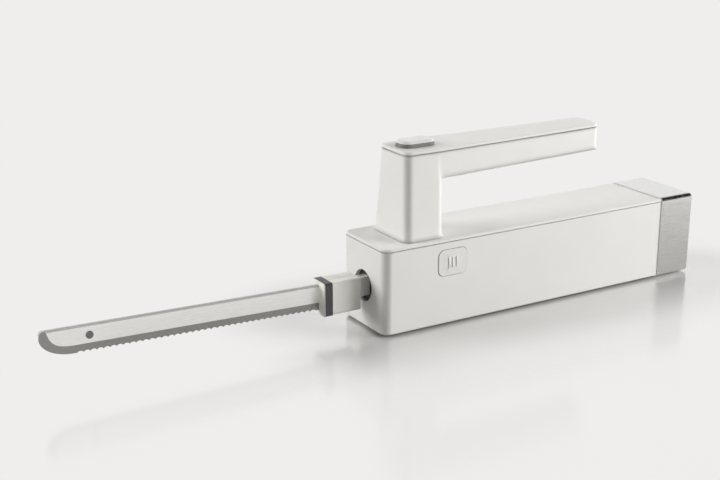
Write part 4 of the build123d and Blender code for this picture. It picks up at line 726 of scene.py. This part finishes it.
def cross_outline(reach, arm):
    """The twelve corners of a cross recess."""
    a, b = reach, arm
    return [(a, -b), (a, b), (b, b), (b, a), (-b, a), (-b, b), (-a, b), (-a, -b), (-b, -b), (-b, -a), (b, -a),
            (b, -b)]


def cross_screw(length, thread):
    """A screw along +Z with its head's cross recess at Z 0 and a thread at its end."""
    profile = [(HEAD_RADIUS * 0.86, 0), (HEAD_RADIUS, HEAD_HEIGHT * 0.35), (HEAD_RADIUS, HEAD_HEIGHT),
               (SHANK_RADIUS, HEAD_HEIGHT)]
    level = length - thread
    profile.append((SHANK_RADIUS, level))
    while level < length - 2.0:
        profile += [(SHANK_RADIUS * 0.8, level + 0.25), (SHANK_RADIUS, level + 0.6),
                    (SHANK_RADIUS, level + THREAD_PITCH)]
        level += THREAD_PITCH
    profile += [(SHANK_RADIUS * 0.8, level + 0.3), (SHANK_RADIUS * 0.35, length), (0, length)]
    work = lathe(profile, SCREW_SEGMENTS)
    rim = [edge for edge in work.edges if edge.is_boundary]
    recess = cross_outline(HEAD_RADIUS * 0.6, HEAD_RADIUS * 0.16)
    top = [work.verts.new((x * MM, y * MM, 0)) for x, y in recess]
    foot = [work.verts.new((x * MM * 0.55, y * MM * 0.8, HEAD_HEIGHT * 0.8 * MM)) for x, y in recess]
    for i in range(len(recess)):
        j = (i + 1) % len(recess)
        work.faces.new((top[i], top[j], foot[j], foot[i]))
    work.faces.new(foot)
    loop = [work.edges.get((top[i], top[(i + 1) % len(recess)])) for i in range(len(recess))]
    bmesh.ops.triangle_fill(work, use_beauty=True, edges=rim + loop)
    bmesh.ops.recalc_face_normals(work, faces=work.faces)
    return work


def places_in_corners(node_name, radius):
    """Grid values that put four round parts in the corners of a node's box, on its underside."""
    low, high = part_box(node_name)
    return {"Count Length": 2, "Count Width": 2, "Spacing Length": high.x - low.x - 2 * radius * MM,
            "Spacing Width": high.y - low.y - 2 * radius * MM,
            "Centre": ((low.x + high.x) / 2, (low.y + high.y) / 2, low.z)}


grid_tree = grid_of_places()

rubber_foot = source_part("rubber_foot_source", lathe([
    (0, 0.5), (3.4, 0.5), (3.8, 0.0), (5.4, 0.0), (5.9, 0.12), (FOOT_RADIUS, 0.35), (FOOT_RADIUS, 0.8),
    (5.6, 0.95), (5.6, 1.15), (FOOT_RADIUS, 1.3), (FOOT_RADIUS, 1.7), (0, 1.7)], FOOT_SEGMENTS))
repeated("rubber_feet", grid_tree, dict(places_in_corners("base_feet", FOOT_RADIUS), Part=rubber_foot),
         "housing", "rubber", ("base_feet",))

low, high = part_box("housing_screws")
long_screw = source_part("long_screw_source", cross_screw((high.z - low.z) / MM, LONG_THREAD))
repeated("housing_cross_screws", grid_tree,
         dict(places_in_corners("housing_screws", HEAD_RADIUS), Part=long_screw),
         "housing", "screw_steel", ("housing_screws",))

low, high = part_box("rear_cover_screws")
cover_screw = cross_screw((high.x - low.x) / MM, SHORT_THREAD)
cover_screw.transform(Matrix.Rotation(math.radians(-90), 4, "Y"))
repeated("rear_cover_cross_screws", grid_tree, {
    "Part": source_part("cover_screw_source", cover_screw), "Count Length": 1, "Count Width": 2,
    "Spacing Length": 0.0, "Spacing Width": high.y - low.y - 2 * HEAD_RADIUS * MM,
    "Centre": (high.x, (low.y + high.y) / 2, (low.z + high.z) / 2)}, "housing", "screw_steel",
    ("rear_cover_screws",))


# Floor, lamps and world

FLOOR_HALF = 8
FLOOR_ROUGHNESS = 0.16
FOOTPRINT_HALF = (0.13, 0.026, 0)
EVEN_FROM = 0.012
EVEN_PAST = 0.1
MIRROR_PAST = 0.07
FLOOR_COLOUR = (0.875, 0.865, 0.855)
FLOOR_BOUNCE = (0.42, 0.42, 0.42)
FLOOR_MIRROR_FAR = 0.1
FLOOR_MIRROR_NEAR = 0.38
FLOOR_MATT_FAR = (0.837, 0.822, 0.812)
FLOOR_MATT_NEAR = (0.69, 0.67, 0.66)
WORLD_LEVEL = 0.2
WORLD_SHEEN = 1.15
WORLD_SEEN = 0.86
CARD_PLACE = (0.58, -0.31, 0.83)
CARD_SIZE = (2.0, 1.8)
STUDIO_MIDDLE = (0, 0, 0.05)
LAMPS = (
    ("left_softbox", (-1.3, 0.77, 0.6), (0.9, 0.9), 20.5),
    ("right_softbox", (1.2, -0.9, 0.57), (1.1, 0.9), 34),
    ("top_softbox", (0.4, 0.9, 1.3), (1.4, 1.4), 2.5),
)


def distance_share(tree, place, half_size, none, full):
    """A share that follows the distance on the floor from a box round the middle."""
    away = tree.nodes.new("ShaderNodeVectorMath")
    away.operation = "ABSOLUTE"
    beyond = tree.nodes.new("ShaderNodeVectorMath")
    beyond.operation = "SUBTRACT"
    beyond.inputs[1].default_value = half_size
    outside = tree.nodes.new("ShaderNodeVectorMath")
    outside.operation = "MAXIMUM"
    outside.inputs[1].default_value = (0, 0, 0)
    reach = tree.nodes.new("ShaderNodeVectorMath")
    reach.operation = "LENGTH"
    share = tree.nodes.new("ShaderNodeMapRange")
    share.interpolation_type = "SMOOTHSTEP"
    share.inputs["From Min"].default_value = none
    share.inputs["From Max"].default_value = full
    tree.links.new(place, away.inputs[0])
    tree.links.new(away.outputs["Vector"], beyond.inputs[0])
    tree.links.new(beyond.outputs["Vector"], outside.inputs[0])
    tree.links.new(outside.outputs["Vector"], reach.inputs[0])
    tree.links.new(reach.outputs["Value"], share.inputs["Value"])
    return share.outputs["Result"]


def lay_floor():
    """A plain pale glossy floor: even in tone for the camera, with the knife's shadow and reflection."""
    work = bmesh.new()
    bmesh.ops.create_grid(work, x_segments=1, y_segments=1, size=FLOOR_HALF)
    mesh = bpy.data.meshes.new("floor")
    work.to_mesh(mesh)
    work.free()
    floor = bpy.data.objects.new("floor", mesh)
    bpy.context.scene.collection.objects.link(floor)
    material = bpy.data.materials.new("floor")
    material.use_nodes = True
    tree = material.node_tree
    tree.nodes.remove(tree.nodes["Principled BSDF"])
    path = tree.nodes.new("ShaderNodeLightPath")
    bounce = tree.nodes.new("ShaderNodeBsdfDiffuse")
    bounced = mix_colours(tree, path.outputs["Is Diffuse Ray"], tinted(FLOOR_COLOUR, 0.97), FLOOR_BOUNCE)
    tree.links.new(bounced, bounce.inputs["Color"])
    where = tree.nodes.new("ShaderNodeTexCoord")
    far = distance_share(tree, where.outputs["Object"], FOOTPRINT_HALF, EVEN_FROM, EVEN_PAST)
    near = distance_share(tree, where.outputs["Object"], FOOTPRINT_HALF, MIRROR_PAST, 0.0)
    mirror_share = tree.nodes.new("ShaderNodeMapRange")
    mirror_share.inputs["To Min"].default_value = FLOOR_MIRROR_FAR
    mirror_share.inputs["To Max"].default_value = FLOOR_MIRROR_NEAR
    tree.links.new(near, mirror_share.inputs["Value"])
    matt_colour = mix_colours(tree, near, FLOOR_MATT_FAR, FLOOR_MATT_NEAR)
    matt = tree.nodes.new("ShaderNodeBsdfDiffuse")
    tree.links.new(matt_colour, matt.inputs["Color"])
    even = tree.nodes.new("ShaderNodeEmission")
    tree.links.new(matt_colour, even.inputs["Color"])
    even.inputs["Strength"].default_value = 1.0
    spread = tree.nodes.new("ShaderNodeMixShader")
    tree.links.new(far, spread.inputs["Fac"])
    tree.links.new(matt.outputs["BSDF"], spread.inputs[1])
    tree.links.new(even.outputs["Emission"], spread.inputs[2])
    mirror = tree.nodes.new("ShaderNodeBsdfGlossy")
    mirror.inputs["Color"].default_value = (1, 1, 1, 1)
    mirror.inputs["Roughness"].default_value = FLOOR_ROUGHNESS
    polished = tree.nodes.new("ShaderNodeMixShader")
    tree.links.new(mirror_share.outputs["Result"], polished.inputs["Fac"])
    tree.links.new(spread.outputs["Shader"], polished.inputs[1])
    tree.links.new(mirror.outputs["BSDF"], polished.inputs[2])
    seen = tree.nodes.new("ShaderNodeMixShader")
    tree.links.new(path.outputs["Is Camera Ray"], seen.inputs["Fac"])
    tree.links.new(bounce.outputs["BSDF"], seen.inputs[1])
    tree.links.new(polished.outputs["Shader"], seen.inputs[2])
    tree.links.new(seen.outputs["Shader"], tree.nodes["Material Output"].inputs["Surface"])
    mesh.materials.append(material)


def hang_lamp(name, place, size, watts):
    """A rectangular softbox turned to the middle of the studio, unseen by mirror-bright faces."""
    data = bpy.data.lights.new(name, "AREA")
    data.shape = "RECTANGLE"
    data.size, data.size_y = size
    data.energy = watts
    lamp = bpy.data.objects.new(name, data)
    bpy.context.scene.collection.objects.link(lamp)
    lamp.location = place
    lamp.visible_glossy = False
    lamp.rotation_euler = (Vector(STUDIO_MIDDLE) - Vector(place)).to_track_quat("-Z", "Y").to_euler()


def hang_card():
    """A dark card that only mirror-bright faces see, for the dark lines along the steel cap."""
    work = bmesh.new()
    bmesh.ops.create_grid(work, x_segments=1, y_segments=1, size=0.5)
    mesh = bpy.data.meshes.new("dark_card")
    work.to_mesh(mesh)
    work.free()
    card = bpy.data.objects.new("dark_card", mesh)
    bpy.context.scene.collection.objects.link(card)
    turn = (Vector(STUDIO_MIDDLE) - Vector(CARD_PLACE)).to_track_quat("Z", "Y")
    for corner in mesh.vertices:
        flat = Vector((corner.co.x * CARD_SIZE[0], corner.co.y * CARD_SIZE[1], 0))
        corner.co = Vector(CARD_PLACE) + turn @ flat
    mesh.materials.append(new_finish("dark_card", (0.01, 0.01, 0.01), 0.9)[0])
    card.visible_camera = False
    card.visible_diffuse = False
    card.visible_shadow = False
    card.visible_transmission = False


def light_studio():
    """A dim world that is brighter in mirror-bright faces, and three softboxes."""
    world = bpy.data.worlds.new("studio")
    bpy.context.scene.world = world
    world.use_nodes = True
    tree = world.node_tree
    background = tree.nodes["Background"]
    background.inputs["Color"].default_value = (1, 1, 1, 1)
    path = tree.nodes.new("ShaderNodeLightPath")
    level = tree.nodes.new("ShaderNodeMapRange")
    level.inputs["To Min"].default_value = WORLD_LEVEL
    level.inputs["To Max"].default_value = WORLD_SHEEN
    tree.links.new(path.outputs["Is Glossy Ray"], level.inputs["Value"])
    seen = tree.nodes.new("ShaderNodeMapRange")
    seen.inputs["To Max"].default_value = WORLD_SEEN
    tree.links.new(path.outputs["Is Camera Ray"], seen.inputs["Value"])
    tree.links.new(level.outputs["Result"], seen.inputs["To Min"])
    tree.links.new(seen.outputs["Result"], background.inputs["Strength"])
    for name, place, size, watts in LAMPS:
        hang_lamp(name, place, size, watts)


place_camera()
lay_floor()
hang_card()
light_studio()
bpy.context.scene.view_settings.view_transform = "Standard"
